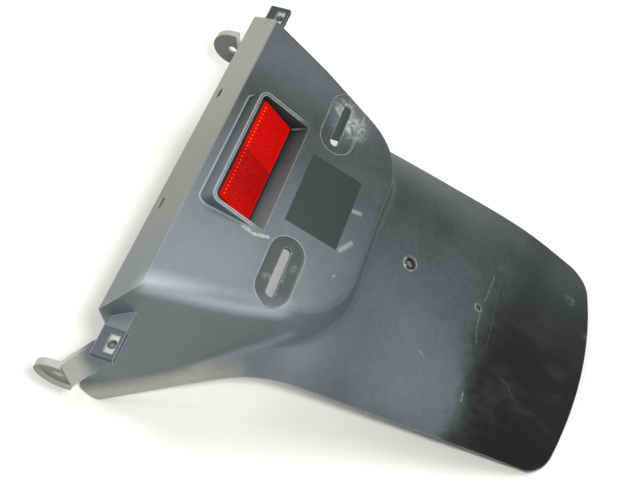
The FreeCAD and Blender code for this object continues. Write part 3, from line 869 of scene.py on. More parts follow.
@dataclass(frozen=True)
class GuardPlastic:
    """Charcoal moulded plastic, fine-grained, hazed by weather and paler on its outer faces, with
    painted light, sheen, highlights and shade laid into its colour.
    """

    fresh: Colour = srgb(38, 43, 43)
    faded_and_lit: Colour = srgb(113, 121, 125)
    # Chalky colour of the strip, also its painted sheen.
    chalk_and_sheen: Colour = srgb(154, 153, 143)
    pale: Colour = srgb(176, 176, 169)
    # Colour of the painted sheen bands.
    sheen: Colour = srgb(166, 174, 180)
    # Colour of the painted highlight on the pocket's rim.
    pocket_highlight: Colour = srgb(208, 213, 217)
    scuffed: Colour = srgb(186, 188, 185)
    bleach_and_light: BleachAndLight = BleachAndLight()
    oil: OilStain = OilStain()
    panel: FreshPanel = FreshPanel()
    panel_hold: float = 0.95
    dimple: Dimple = Dimple()
    strip: ChalkAndSheenStrip = ChalkAndSheenStrip()
    bands: SheenBands = SheenBands()
    lit_pale_places: LitPalePlaces = LitPalePlaces()
    slots: PlateSlots = PlateSlots()
    worn_and_highlit_edge: float = 1.5
    rub_and_highlight: float = 0.5
    rim_rub: float = 0.6
    pocket: PocketRimHighlight = PocketRimHighlight()
    wear: Wear = Wear()
    roughness: float = 0.46
    mottle_roughness: float = 0.16
    oil_gloss: float = 0.14
    panel_gloss: float = 0.06
    grain: Noise = Noise(1.5, 2.0)
    grain_cells: float = 0.5
    grain_depth: float = 0.05
    edge_radius: float = 0.7

    def material(self) -> bpy.types.Material:
        """Build the finish."""
        shader = PlasticShader(Slot.GUARD.value)
        oiled = self.oil.mask(shader)
        panel = self.panel.mask(shader)
        grain = shader.noise(self.grain) + self.grain_cells * shader.cells(self.grain.per_mm)
        roughness = self.roughness + self.mottle_roughness * (shader.mottle - NOISE_MIDDLE)
        return shader.finish({
            "Base Color": self._colour(shader, oiled, panel),
            "Roughness": roughness - self.oil_gloss * oiled - self.panel_gloss * panel,
            "Normal": shader.bump(grain, self.grain_depth, self.edge_radius),
            "IOR": 1.5,
            "Specular IOR Level": 0.4,
        })

    def _colour(self, shader: PlasticShader, oiled: Value, panel: Value) -> bpy.types.NodeSocket:
        """Colour of the plastic, laid on from the ground up.

        Args:
            shader: Shader of the plastic.
            oiled: How oily the plastic is.
            panel: Where the unfaded rectangle is.

        Returns:
            The colour.
        """
        inside, ring = self.dimple.masks(shader)
        floor, rim = self.slots.recess(shader)
        # Rubbed recess rims, with a painted highlight along every sharp edge.
        rubbed_and_highlit = (self.rim_rub * rim).most(shader.edges(self.worn_and_highlit_edge) * (1.0 - inside))
        haze_and_light = self.bleach_and_light.mask(shader) * (1.0 - oiled) * (1.0 - self.panel_hold * panel)
        coats = (
            # Faded plastic, carrying the painted light and shade of the bleach mask.
            (haze_and_light, self.faded_and_lit),
            (oiled, self.oil.colour(shader)),
            # Painted shade in the upper hole's dimple, in the oily colour.
            (inside * self.dimple.strength, self.oil.oiled),
            (ring, self.pale),
            # Chalky haze and painted sheen on the top strip.
            (self.strip.mask(shader), self.chalk_and_sheen),
            # Painted sheen bands.
            (self.bands.mask(shader), self.sheen),
            # Painted light, with some bleaching, on the skirt, ear webs and tabs.
            (self.lit_pale_places.mask(shader), self.pale),
            (floor, self.fresh),
            # Rubbed rims and painted edge highlights.
            (rubbed_and_highlit * self.rub_and_highlight, self.pale),
            # Painted highlight along the pocket's rim.
            (self.pocket.mask(shader), self.pocket_highlight),
            (self.wear.mask(shader, self.slots.chips(shader)), self.scuffed),
        )
        colour = self.fresh
        for share, coat in coats:
            colour = shader.mix(share, colour, coat)
        return colour


@dataclass(frozen=True)
class ReflectorRed:
    """Clear red moulded lens, glossy, over a bright prism field that is deeper on its left half,
    with a painted red glow.
    """

    bright: Colour = srgb(190, 6, 3)
    deep: Colour = srgb(112, 2, 2)
    glow: Colour = srgb(200, 6, 2)
    glow_strength: float = 0.13
    glow_loss: float = 0.6
    seam: Span = (2.1, 0.9)
    seam_wander: float = 5.0
    left_end: Span = (-40.0, -18.0)
    left_end_share: float = 0.45
    left_depth: float = 0.42
    facets_per_mm: float = 0.55
    facet_middle: float = 0.4
    facet_depth: float = 0.2
    cloud: Noise = Noise(0.05)
    dust: Noise = Noise(0.8)
    dust_depth: float = 0.02
    roughness: float = 0.12
    dust_roughness: float = 0.14
    edge_radius: float = 0.3

    def material(self) -> bpy.types.Material:
        """Build the finish."""
        shader = Shader(Slot.RED.value)
        dust = shader.noise(self.dust)
        across = shader.x + self.seam_wander * (shader.noise(self.cloud) - NOISE_MIDDLE)
        rest = 1 - self.left_end_share
        left = self.left_end_share + rest * across.over(*self.left_end)
        left = across.over(*self.seam) * left
        facets = self.facet_depth * (shader.cells(self.facets_per_mm) - self.facet_middle)
        share = (self.left_depth * left + facets).most(0.0).least(1.0)
        return shader.finish({
            "Base Color": shader.mix(share, self.bright, self.deep),
            "Roughness": self.roughness + self.dust_roughness * dust,
            "Normal": shader.bump(dust, self.dust_depth, self.edge_radius),
            "IOR": 1.49,
            "Specular IOR Level": 0.1,
            "Coat Weight": 0.05,
            "Coat Roughness": 0.05,
            # Painted glow for light sent back by the prisms, weaker on the left half.
            "Emission Color": shader.mix(self.glow_loss * left, self.glow, self.deep),
            "Emission Strength": self.glow_strength,
        })


@dataclass(frozen=True)
class ReflectorBlack:
    """Black gloss plastic of the reflector's tray, dusty in places."""

    black: Colour = srgb(20, 21, 22)
    dusty: Colour = srgb(64, 66, 66)
    dust: Noise = Noise(0.25, 5.0, 0.65)
    dust_step: Span = (0.5, 0.85)
    fine: Noise = Noise(2.0, 2.0)
    fine_depth: float = 0.015
    roughness: float = 0.2
    dust_roughness: float = 0.3
    edge_radius: float = 0.35

    def material(self) -> bpy.types.Material:
        """Build the finish."""
        shader = Shader(Slot.BLACK.value)
        dust = shader.noise(self.dust)
        return shader.finish({
            "Base Color": shader.mix(dust.over(*self.dust_step), self.black, self.dusty),
            "Roughness": self.roughness + self.dust_roughness * dust,
            "Normal": shader.bump(shader.noise(self.fine), self.fine_depth, self.edge_radius),
            "IOR": 1.52,
        })


@dataclass(frozen=True)
class ZincSteel:
    """Zinc-plated steel of the reflector's nuts and washers, slightly dulled."""

    bright: Colour = srgb(196, 198, 200)
    dull: Colour = srgb(140, 141, 138)
    spangles_per_mm: float = 0.9
    spangle_share: float = 0.6
    spangle_depth: float = 0.01
    stain: Noise = Noise(0.4, 4.0, 0.6)
    stain_share: float = 0.5
    roughness: float = 0.26
    stain_roughness: float = 0.25
    edge_radius: float = 0.2

    def material(self) -> bpy.types.Material:
        """Build the finish."""
        shader = Shader(Slot.ZINC.value)
        spangle = shader.cells(self.spangles_per_mm)
        stain = shader.noise(self.stain)
        dulled = (self.spangle_share * spangle + self.stain_share * stain).least(1.0)
        return shader.finish({
            "Base Color": shader.mix(dulled, self.bright, self.dull),
            "Roughness": self.roughness + self.stain_roughness * stain,
            "Normal": shader.bump(spangle, self.spangle_depth, self.edge_radius),
            "Metallic": 1.0,
        })


@dataclass(frozen=True)
class ClipSteel:
    """Dark blue-grey spring steel of the clip nuts, brushed, with a few rust specks and a painted
    highlight along its edges.
    """

    steel: Colour = srgb(110, 117, 123)
    dark: Colour = srgb(60, 66, 72)
    rubbed_and_highlit: Colour = srgb(190, 197, 203)
    rust: Colour = srgb(112, 62, 34)
    brushed: Noise = Noise(1.2, 3.0, 0.6, (0.12, 2.4, 1.0))
    brush_depth: float = 0.012
    stain: Noise = Noise(0.18, 5.0, 0.65)
    rust_step: Span = (0.6, 0.74)
    rust_share: float = 0.8
    worn_and_highlit_edge: float = 1.0
    rub_and_highlight: float = 0.7
    roughness: float = 0.38
    stain_roughness: float = 0.2
    rust_roughness: float = 0.3
    metallic: float = 0.8
    rust_dullness: float = 0.7
    edge_radius: float = 0.3

    def material(self) -> bpy.types.Material:
        """Build the finish."""
        shader = Shader(Slot.CLIP.value)
        brushed = shader.noise(self.brushed)
        stain = shader.noise(self.stain)
        rusty = stain.over(*self.rust_step)
        colour = shader.mix(brushed, self.dark, self.steel)
        colour = shader.mix(rusty * self.rust_share, colour, self.rust)
        # Painted highlight along the clip's edges.
        colour = shader.mix(self.rub_and_highlight * shader.edges(self.worn_and_highlit_edge), colour, self.rubbed_and_highlit)
        roughness = self.roughness + self.stain_roughness * stain + self.rust_roughness * rusty
        return shader.finish({
            "Base Color": colour,
            "Roughness": roughness,
            "Metallic": self.metallic - self.rust_dullness * rusty,
            "Normal": shader.bump(brushed, self.brush_depth, self.edge_radius),
        })


@dataclass(frozen=True)
class StudioFloor:
    """Plain white table top."""

    white: Colour = (0.93, 0.93, 0.92, 1.0)
    tint: Colour = (0.91, 0.91, 0.895, 1.0)
    cloud: Noise = Noise(0.004, 2.0)

    def material(self) -> bpy.types.Material:
        """Build the finish."""
        shader = Shader("studio_floor")
        colour = shader.mix(shader.noise(self.cloud), self.white, self.tint)
        return shader.finish({"Base Color": colour, "Roughness": 0.6, "Specular IOR Level": 0.2})


# Mesh helpers


def show(name: str, mesh: bpy.types.Mesh) -> bpy.types.Object:
    """Put a mesh in the scene as an object at the origin.

    Args:
        name: Name of the object.
        mesh: Its mesh.

    Returns:
        The object.
    """
    piece = bpy.data.objects.new(name, mesh)
    bpy.context.scene.collection.objects.link(piece)
    return piece


def ride_along(piece: bpy.types.Object, slot: Slot, *nodes: str) -> None:
    """Tie a finished piece to the model's body.

    Args:
        piece: The piece.
        slot: Slot of the record for its finish; not used.
        nodes: CAD nodes that the piece stands for.
    """
    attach(piece, BODY)
    if nodes:
        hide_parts(*nodes)
    LOG.info("%s: %d faces", piece.name, len(piece.data.polygons))


def smooth(mesh: bpy.types.Mesh, sharp_degrees: float) -> None:
    """Shade a mesh smoothly, with sharp edges where it turns by more than an angle."""
    mesh.shade_smooth()
    mesh.set_sharp_from_angle(angle=math.radians(sharp_degrees))


def dress(
    mesh: bpy.types.Mesh,
    material: bpy.types.Material,
    sharp_degrees: float,
    slot: Slot,
    *nodes: str,
) -> None:
    """Give a mesh its finish and show it as a piece under the mesh's name.

    Args:
        mesh: Finished mesh.
        material: Finish of the piece.
        sharp_degrees: Turn above which an edge stays sharp.
        slot: Slot of the record for the finish.
        nodes: CAD nodes that the piece stands for.
    """
    mesh.materials.clear()
    mesh.materials.append(material)
    smooth(mesh, sharp_degrees)
    ride_along(show(mesh.name, mesh), slot, *nodes)


def carry_over(
    node: str,
    name: str,
    material: bpy.types.Material,
    sharp_degrees: float,
    slot: Slot,
) -> None:
    """Copy a CAD node's mesh as a piece, with its seams closed and its own finish.

    Args:
        node: Name of the CAD node.
        name: Name of the new piece.
        material: Finish of the new piece.
        sharp_degrees: Turn above which an edge stays sharp.
        slot: Slot of the record for the finish.
    """
    mesh = frame["nodes"][node].data.copy()
    mesh.name = name
    shape = bmesh.new()
    shape.from_mesh(mesh)
    bmesh.ops.remove_doubles(shape, verts=shape.verts, dist=SEAM_GAP)
    bmesh.ops.recalc_face_normals(shape, faces=shape.faces)
    shape.to_mesh(mesh)
    shape.free()
    if mesh.has_custom_normals:
        mesh.attributes.remove(mesh.attributes["custom_normal"])
    dress(mesh, material, sharp_degrees, slot, node)


def polar(radius: float, angle: float, level: float) -> Vector:
    """Point at a radius, an angle and a level."""
    return Vector((radius * math.cos(angle), radius * math.sin(angle), level))


def rounded_rectangle(
    width: float, height: float, radius: float, level: float, steps: int
) -> list[Vector]:
    """Points round a rectangle with round corners, at one level.

    Args:
        width: Size along X.
        height: Size along Y.
        radius: Corner radius.
        level: Height of the points.
        steps: Pieces of each corner's arc.

    Returns:
        The points, anticlockwise.
    """
    points = []
    for quarter, (side_x, side_y) in enumerate(((1, 1), (-1, 1), (-1, -1), (1, -1))):
        centre = Vector((side_x * (width / 2 - radius), side_y * (height / 2 - radius), level))
        for step in range(steps + 1):
            angle = (quarter + step / steps) * math.pi / 2
            points.append(centre + polar(radius, angle, 0))
    return points


class Ends(Enum):
    """How a lofted mesh is closed: by a cap at each end, or round into a ring."""

    CAPS = "caps"
    RING = "ring"


def lofted(
    name: str, loops: Sequence[Sequence[Vector]], place: Matrix, ends: Ends
) -> bpy.types.Mesh:
    """Closed mesh through loops of equal length.

    Args:
        name: Name of the mesh.
        loops: Loops of points, in order.
        place: Where the mesh goes.
        ends: How the mesh is closed.

    Returns:
        The mesh.
    """
    shape = bmesh.new()
    rings = [[shape.verts.new(place @ point) for point in loop] for loop in loops]
    count = len(rings[0])
    following = rings[1:] + rings[:1] if ends is Ends.RING else rings[1:]
    for low, high in zip(rings, following):
        for index in range(count):
            after = (index + 1) % count
            shape.faces.new((low[index], low[after], high[after], high[index]))
    if ends is Ends.CAPS:
        shape.faces.new(list(reversed(rings[0])))
        shape.faces.new(rings[-1])
    bmesh.ops.recalc_face_normals(shape, faces=shape.faces)
    mesh = bpy.data.meshes.new(name)
    shape.to_mesh(mesh)
    shape.free()
    return mesh


# Repeats made with geometry nodes


class Repeat(Tree):
    """Geometry node tree that sets copies of one form on points, as one plain mesh."""

    def __init__(self, name: str) -> None:
        """Start the tree with its inputs and its one output."""
        super().__init__(bpy.data.node_groups.new(name, "GeometryNodeTree"))
        self.name = name
        self.tree.interface.new_socket(
            "Geometry", in_out="OUTPUT", socket_type="NodeSocketGeometry"
        )
        self.inputs = self.add("NodeGroupInput")
        self.settings: dict[str, Any] = {}

    def setting(self, name: str, kind: str, value: Any) -> bpy.types.NodeSocket:
        """Add a named input to the tree.

        Args:
            name: Name of the input.
            kind: Type of its socket.
            value: Value that it gets.

        Returns:
            The socket that gives the value inside the tree.
        """
        item = self.tree.interface.new_socket(name, in_out="INPUT", socket_type=kind)
        self.settings[item.identifier] = value
        return self.inputs.outputs[name]

    def mesh(
        self,
        points: bpy.types.NodeSocket,
        form: bpy.types.NodeSocket,
        turn: Point,
        material: bpy.types.Material,
        place: Matrix,
    ) -> bpy.types.Mesh:
        """Set the form on the points and turn the result into a plain mesh.

        Args:
            points: Geometry whose points carry the copies.
            form: Geometry that is copied.
            turn: Rotation of each copy.
            material: Finish of the copies.
            place: Where the whole repeat goes.

        Returns:
            The mesh, placed.
        """
        copies = self.add(
            "GeometryNodeInstanceOnPoints",
            inputs={"Points": points, "Instance": form, "Rotation": turn},
        )
        real = self.add(
            "GeometryNodeRealizeInstances", inputs={"Geometry": copies.outputs["Instances"]}
        )
        finish = self.setting("Material", "NodeSocketMaterial", material)
        dressed = self.add(
            "GeometryNodeSetMaterial",
            inputs={"Geometry": real.outputs["Geometry"], "Material": finish},
        )
        self.add("NodeGroupOutput", inputs={"Geometry": dressed.outputs["Geometry"]})

        carrier = show(f"{self.name}_carrier", bpy.data.meshes.new(f"{self.name}_carrier"))
        modifier = carrier.modifiers.new(self.name, "NODES")
        modifier.node_group = self.tree
        for identifier, value in self.settings.items():
            modifier[identifier] = value
        evaluated = carrier.evaluated_get(bpy.context.evaluated_depsgraph_get())
        mesh = bpy.data.meshes.new_from_object(evaluated)
        mesh.name = self.name
        mesh.transform(place)
        carrier.modifiers.remove(modifier)
        bpy.data.objects.remove(carrier)
        return mesh


# The pieces


@dataclass(frozen=True)
class Mount:
    """A round fastening place of the record."""

    middle: Vector
    axis: Vector
    radius: float
    length: float

    @classmethod
    def named(cls, name: str) -> "Mount":
        """Find a mount of the record.

        Args:
            name: Name of the mount.

        Returns:
            The mount, in metres.
        """
        item = next(item for item in frame["record"]["mounts"] if item["name"] == name)
        dims = item["dims"]
        axis = Vector(item["axis"]).normalized()
        return cls(Vector(item["pos_m"]), axis, dims["r_mm"] * MM, dims["length_mm"] * MM)

    def place(self) -> Matrix:
        """Frame at the mount's middle with Z along its axis."""
        turn = self.axis.to_track_quat("Z", "Y").to_matrix().to_4x4()
        return Matrix.Translation(self.middle) @ turn


@dataclass
class TornRim:
    """Ragged lip of plastic round a hole in the flap."""

    mount: str
    name: str
    reach: float
    rise: float
    seed: int
    segments: int = 64
    tears: int = 7
    tear_size: Span = (0.1, 0.3)
    surface: float = 1.2 * MM
    profile: tuple[Span, ...] = ((0.0, -0.4), (0.12, 0.75), (0.35, 1.0), (0.7, 0.45), (1.0, -0.4))
    sharp_degrees: float = 70.0

    @staticmethod
    def torn(angle: float, waves: Sequence[Span]) -> float:
        """Reach of the lip at an angle, as a share of its mean reach.

        Args:
            angle: Angle round the hole.
            waves: Size and phase of each wave of the tear.

        Returns:
            The share.
        """
        return 1 + sum(
            size * math.sin((order + 2) * angle + phase) / (order + 1)
            for order, (size, phase) in enumerate(waves)
        )

    def build(self, material: bpy.types.Material) -> None:
        """Make the lip round the hole of its mount.

        Args:
            material: Finish of the lip.
        """
        mount = Mount.named(self.mount)
        ragged = random.Random(self.seed)
        waves = [
            (ragged.uniform(*self.tear_size), ragged.uniform(0, 2 * math.pi))
            for _ in range(self.tears)
        ]
        loops = []
        for share, rise in self.profile:
            loop = []
            for index in range(self.segments):
                angle = 2 * math.pi * index / self.segments
                torn = self.torn(angle, waves)
                radius = mount.radius + share * self.reach * torn
                height = self.surface + rise * self.rise * (torn if rise > 0 else 1)
                loop.append(polar(radius, angle, height))
            loops.append(loop)
        mesh = lofted(self.name, loops, mount.place(), Ends.RING)
        dress(mesh, material, self.sharp_degrees, Slot.GUARD)


@dataclass
class GuardShell:
    """The moulded shell, with the torn lips of the two holes in its flap."""

    finish: GuardPlastic = GuardPlastic()
    sharp_degrees: float = 28.0
    rims: tuple[TornRim, ...] = (
        TornRim("crown_bore_upper", "crown_rim_upper", 3.4 * MM, 0.9 * MM, 11),
        TornRim("crown_bore_lower", "crown_rim_lower", 1.3 * MM, 0.4 * MM, 23),
    )

    def build(self) -> None:
        """Make the shell and its lips."""
        material = self.finish.material()
        carry_over("guard_body", "guard_shell", material, self.sharp_degrees, Slot.GUARD)
        for rim in self.rims:
            rim.build(material)


@dataclass
class ThreadRings:
    """Rings that stand for the ridges of a fine thread."""

    name: str
    radius: float
    pitch: float
    count: int
    wire: float = 0.22 * MM
    ring_steps: int = 40
    wire_steps: int = 6
    sharp_degrees: float = 60.0

    def build(self, mount: Mount, slot: Slot, material: bpy.types.Material) -> None:
        """Make the rings along a mount's axis, about its middle.

        Args:
            mount: Threaded place.
            slot: Slot of the record for the finish.
            material: Finish of the rings.
        """
        repeat = Repeat(self.name)
        pitch = repeat.setting("Pitch", "NodeSocketVector", (0, 0, self.pitch))
        count = repeat.setting("Count", "NodeSocketInt", self.count)
        radius = repeat.setting("Radius", "NodeSocketFloat", self.radius)
        start = (0, 0, -self.pitch * (self.count - 1) / 2)
        points = repeat.add(
            "GeometryNodeMeshLine",
            inputs={"Count": count, "Start Location": start, "Offset": pitch},
        )
        ring, wire = (
            repeat.add(
                "GeometryNodeCurvePrimitiveCircle", inputs={"Resolution": steps, "Radius": size}
            )
            for steps, size in ((self.ring_steps, radius), (self.wire_steps, self.wire))
        )
        form = repeat.add(
            "GeometryNodeCurveToMesh",
            inputs={"Curve": ring.outputs["Curve"], "Profile Curve": wire.outputs["Curve"]},
        )
        mesh = repeat.mesh(
            points.outputs["Mesh"], form.outputs["Mesh"], (0, 0, 0), material, mount.place()
        )
        smooth(mesh, self.sharp_degrees)
        ride_along(show(self.name, mesh), slot)


@dataclass
class StudNuts:
    """Plated nuts and washers on the reflector's two studs, behind the pocket's floor."""

    finish: ZincSteel = ZincSteel()
    spacing: float = 50.0 * MM
    floor: float = -10.85 * MM
    bore: float = 2.55 * MM
    washer: float = 5.5 * MM
    washer_thickness: float = 1.0 * MM
    flats: float = 8.0 * MM
    nut_height: float = 4.0 * MM
    chamfer: float = 0.45 * MM
    segments: int = 48
    sharp_degrees: float = 24.0

    def loop(self, radius: float, level: float, share: float = 0.0) -> list[Vector]:
        """Loop between a circle and the hexagon round the flats.

        Args:
            radius: Radius of the circle.
            level: Height of the loop.
            share: Nought for the circle, one for the hexagon.

        Returns:
            The points of the loop.
        """
        points = []
        for index in range(self.segments):
            angle = 2 * math.pi * index / self.segments
            turn = angle % (math.pi / 3) - math.pi / 6
            reach = (1 - share) * radius + share * self.flats / 2 / math.cos(turn)
            points.append(polar(reach, angle, level))
        return points

    def build(self, face: Matrix) -> None:
        """Make both nuts and both washers.

        Args:
            face: Frame of the reflector's face.
        """
        material = self.finish.material()
        soft = self.chamfer / 3
        under = self.floor - self.washer_thickness
        low = under - self.nut_height
        washer = [
            self.loop(self.bore + soft, self.floor),
            self.loop(self.washer - soft, self.floor),
            self.loop(self.washer, self.floor - soft),
            self.loop(self.washer, under + soft),
            self.loop(self.washer - soft, under),
            self.loop(self.bore + soft, under),
            self.loop(self.bore, under + soft),
            self.loop(self.bore, self.floor - soft),
        ]
        nut = [
            self.loop(self.bore + self.chamfer, under),
            self.loop(self.flats / 2, under),
            self.loop(self.flats / 2, under - self.chamfer, 1.0),
            self.loop(self.flats / 2, low + self.chamfer, 1.0),
            self.loop(self.flats / 2, low),
            self.loop(self.bore + self.chamfer, low),
            self.loop(self.bore, low + self.chamfer),
            self.loop(self.bore, under - self.chamfer),
        ]
        for side, sign in SIDES.items():
            place = face @ Matrix.Translation((sign * self.spacing / 2, 0, 0))
            for name, loops in (("washer", washer), ("nut", nut)):
                mesh = lofted(f"reflector_{name}_{side}_plated", loops, place, Ends.RING)
                dress(mesh, material, self.sharp_degrees, Slot.ZINC)


@dataclass
class Reflector:
    """Red reflector in its black tray, with its prism field, pips, washers and nuts."""

    red: ReflectorRed = ReflectorRed()
    # Orange pips with a strong painted glow.
    pip_glow: ReflectorRed = ReflectorRed(
        srgb(255, 120, 40), srgb(196, 24, 8), srgb(255, 110, 24), 0.4
    )
    black: ReflectorBlack = ReflectorBlack()
    studs: StudNuts = field(default_factory=StudNuts)
    tilt_degrees: float = 53.0
    width: float = 91.0 * MM
    height: float = 32.0 * MM
    thickness: float = 5.0 * MM
    corner: float = 3.0 * MM
    least_corner: float = 0.6 * MM
    corner_steps: int = 6
    border: float = 1.8 * MM
    sunk: float = 0.45 * MM
    edge: float = 0.4 * MM
    back_edge: float = 0.3 * MM
    prism_pitch: float = 2.5 * MM
    prism_height: float = 0.4 * MM
    prism_base: float = 0.68
    prism_top: float = 0.02 * MM
    prism_margin: float = 1.2 * MM
    prism_seat: float = 0.02 * MM
    pip_pitch: float = 3.4 * MM
    pip_radius: float = 0.55 * MM
    pip_segments: int = 12
    pip_rings: int = 8
    pip_end_margin: float = 2.0 * MM
    pip_top_margin: float = 1.7 * MM
    pip_seat: float = 0.15 * MM
    lens_sharp_degrees: float = 25.0
    tray_sharp_degrees: float = 30.0
    pip_sharp_degrees: float = 60.0

    def place(self, up: float = 0.0, out: float = 0.0) -> Matrix:
        """Frame on the lens face: X across, Y up its slope and Z out of it.

        Args:
            up: How far up the slope from the middle.
            out: How far out of the face.

        Returns:
            The frame.
        """
        low, high = (Vector(corner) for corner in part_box("reflector_lens"))
        turn = Matrix.Rotation(math.radians(self.tilt_degrees), 4, "X")
        offset = Matrix.Translation((0, up, self.thickness / 2 + out))
        return Matrix.Translation((low + high) / 2) @ turn @ offset

    def loop(self, inset: float, level: float) -> list[Vector]:
        """Outline of the lens, moved in and to a level."""
        width, height = self.width - 2 * inset, self.height - 2 * inset
        corner = max(self.corner - inset, self.least_corner)
        return rounded_rectangle(width, height, corner, level, self.corner_steps)

    def build(self) -> None:
        """Make the reflector's pieces."""
        red = self.red.material()
        self._lens(red)
        self._prisms(red)
        self._pips(self.pip_glow.material())
        black = self.black.material()
        carry_over("reflector_base", "reflector_tray", black, self.tray_sharp_degrees, Slot.BLACK)
        self.studs.build(self.place())

    def _lens(self, red: bpy.types.Material) -> None:
        """Make the lens slab, with a raised, softly rounded border.

        Args:
            red: Finish of the lens.
        """
        loops = [
            self.loop(self.back_edge, -self.thickness),
            self.loop(0, -self.thickness + self.back_edge),
            self.loop(0, -self.edge),
            self.loop(self.edge / 3, -self.edge / 3),
            self.loop(self.edge, 0),
            self.loop(self.border, 0),
            self.loop(self.border + self.sunk / 2, -self.sunk),
        ]
        mesh = lofted("reflector_lens_slab", loops, self.place(), Ends.CAPS)
        dress(mesh, red, self.lens_sharp_degrees, Slot.RED, "reflector_lens")

    def _prisms(self, red: bpy.types.Material) -> None:
        """Make the field of small four-sided prisms on the sunk face of the lens.

        Args:
            red: Finish of the prisms.
        """
        inner = 2 * (self.border + self.prism_margin)
        across = int((self.width - inner) / self.prism_pitch) + 1
        up = int((self.height - inner - self.pip_pitch) / self.prism_pitch) + 1
        repeat = Repeat("reflector_prisms")
        columns = repeat.setting("Columns", "NodeSocketInt", across)
        rows = repeat.setting("Rows", "NodeSocketInt", up)
        base = repeat.setting("Base", "NodeSocketFloat", self.prism_base * self.prism_pitch)
        rise = repeat.setting("Rise", "NodeSocketFloat", self.prism_height)
        grid = repeat.add(
            "GeometryNodeMeshGrid",
            inputs={
                "Size X": (across - 1) * self.prism_pitch,
                "Size Y": (up - 1) * self.prism_pitch,
                "Vertices X": columns,
                "Vertices Y": rows,
            },
        )
        prism = repeat.add(
            "GeometryNodeMeshCone",
            inputs={
                "Vertices": 4,
                "Radius Top": self.prism_top,
                "Radius Bottom": base,
                "Depth": rise,
            },
        )
        mesh = repeat.mesh(
            grid.outputs["Mesh"],
            prism.outputs["Mesh"],
            (0, 0, math.pi / 4),
            red,
            self.place(-self.pip_pitch / 2, -self.sunk - self.prism_seat),
        )
        mesh.shade_flat()
        ride_along(show("reflector_prisms", mesh), Slot.RED)

    def _pips(self, red: bpy.types.Material) -> None:
        """Make the row of round pips along the upper long edge of the lens.

        Args:
            red: Finish of the pips.
        """
        run = self.width - 2 * (self.border + self.pip_end_margin)
        count = int(run / self.pip_pitch) + 1
        repeat = Repeat("reflector_pips")
        number = repeat.setting("Count", "NodeSocketInt", count)
        radius = repeat.setting("Radius", "NodeSocketFloat", self.pip_radius)
        line = repeat.add(
            "GeometryNodeMeshLine",
            inputs={
                "Count": number,
                "Start Location": (-(count - 1) * self.pip_pitch / 2, 0, 0),
                "Offset": (self.pip_pitch, 0, 0),
            },
        )
        pip = repeat.add(
            "GeometryNodeMeshUVSphere",
            inputs={"Segments": self.pip_segments, "Rings": self.pip_rings, "Radius": radius},
        )
        up = self.height / 2 - self.border - self.pip_top_margin
        place = self.place(up, -self.sunk - self.pip_seat)
        mesh = repeat.mesh(line.outputs["Mesh"], pip.outputs["Mesh"], (0, 0, 0), red, place)
        smooth(mesh, self.pip_sharp_degrees)
        ride_along(show("reflector_pips", mesh), Slot.RED)


@dataclass
class ClipNuts:
    """Folded steel clip nuts on the side tabs, with the thread in their collars."""

    finish: ClipSteel = ClipSteel()
    sharp_degrees: float = 32.0
    thread_pitch: float = 0.8 * MM

    def build(self) -> None:
        """Make both clip nuts."""
        material = self.finish.material()
        for side in SIDES:
            node = f"clip_nut_{side}"
            carry_over(node, f"{node}_steel", material, self.sharp_degrees, Slot.CLIP)
            mount = Mount.named(f"clip_thread_{side}")
            count = int(mount.length / self.thread_pitch) - 1
            rings = ThreadRings(f"{node}_thread", mount.radius, self.thread_pitch, count)
            rings.build(mount, Slot.CLIP, material)


# Studio


def facing(direction: Vector) -> Euler:
    """Turn of a lamp or camera that looks along a direction."""
    return direction.to_track_quat("-Z", "Y").to_euler()


@dataclass(frozen=True)
class Lamp:
    """A soft square lamp that faces a target."""

    name: str
    place: Point
    target: Point
    size: float
    watts: float
    colour: Point = (1.0, 1.0, 1.0)

    def build(self) -> None:
        """Hang the lamp."""
        light = bpy.data.lights.new(self.name, "AREA")
        light.shape = "SQUARE"
        light.size = self.size
        light.energy = self.watts
        light.color = self.colour
        lamp = bpy.data.objects.new(self.name, light)
        lamp.location = self.place
        lamp.rotation_euler = facing(Vector(self.target) - Vector(self.place))
        bpy.context.scene.collection.objects.link(lamp)


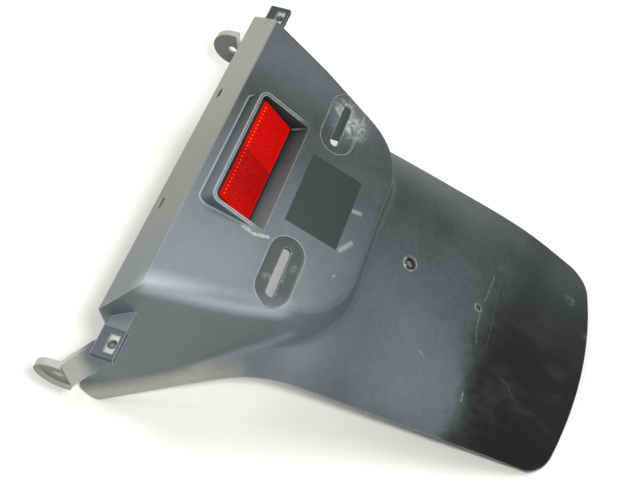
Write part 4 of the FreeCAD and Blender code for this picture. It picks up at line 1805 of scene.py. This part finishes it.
@dataclass
class Studio:
    """White table, soft light and a camera at the photograph's viewing angle."""

    floor: StudioFloor = StudioFloor()
    floor_size: float = 9.0
    sky: Colour = (1.0, 1.0, 1.0, 1.0)
    sky_strength: float = 0.25
    lamps: tuple[Lamp, ...] = (
        Lamp("flash", (-0.36, -0.17, 0.8), (0.0, 0.0, 0.08), 0.06, 4.0, (1.0, 0.99, 0.97)),
        Lamp("softbox", (1.15, -1.6, 3.6), (-0.05, 0.02, 0.12), 2.3, 78.0),
        Lamp("window", (0.35, 2.6, 2.7), (0.0, 0.1, 0.1), 2.2, 66.0, (1.0, 0.98, 0.95)),
    )
    eye: Point = (-0.3836, -0.09935, 0.7261)
    forward: Point = (0.511, 0.176, -0.8415)
    focal_pixels: float = 950.0
    image_width: int = 640
    sensor_mm: float = 36.0
    nearest: float = 0.01

    def build(self) -> None:
        """Set the table, the light and the camera."""
        self._floor()
        self._sky()
        for lamp in self.lamps:
            lamp.build()
        self._camera()
        bpy.context.scene.view_settings.view_transform = "Standard"

    def _floor(self) -> None:
        """Lay the white table top at the height of the guard's lowest points."""
        shape = bmesh.new()
        bmesh.ops.create_grid(shape, x_segments=1, y_segments=1, size=self.floor_size / 2)
        mesh = bpy.data.meshes.new("studio_floor")
        shape.to_mesh(mesh)
        shape.free()
        mesh.materials.append(self.floor.material())
        show("studio_floor", mesh)

    def _sky(self) -> None:
        """Light the scene evenly from all round."""
        world = bpy.data.worlds.new("studio_sky")
        world.use_nodes = True
        sky = world.node_tree.nodes["Background"]
        sky.inputs["Color"].default_value = self.sky
        sky.inputs["Strength"].default_value = self.sky_strength
        bpy.context.scene.world = world

    def _camera(self) -> None:
        """Set up the camera, with no roll."""
        lens = bpy.data.cameras.new("camera")
        lens.sensor_width = self.sensor_mm
        lens.lens = self.focal_pixels * self.sensor_mm / self.image_width
        lens.clip_start = self.nearest
        camera = bpy.data.objects.new("camera", lens)
        camera.location = self.eye
        camera.rotation_euler = facing(Vector(self.forward))
        bpy.context.scene.collection.objects.link(camera)
        bpy.context.scene.camera = camera


def main() -> None:
    """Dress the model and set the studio."""
    logging.basicConfig(level=logging.INFO, format="%(name)s %(message)s")
    GuardShell().build()
    Reflector().build()
    ClipNuts().build()
    Studio().build()


if __name__ == "__main__":
    main()
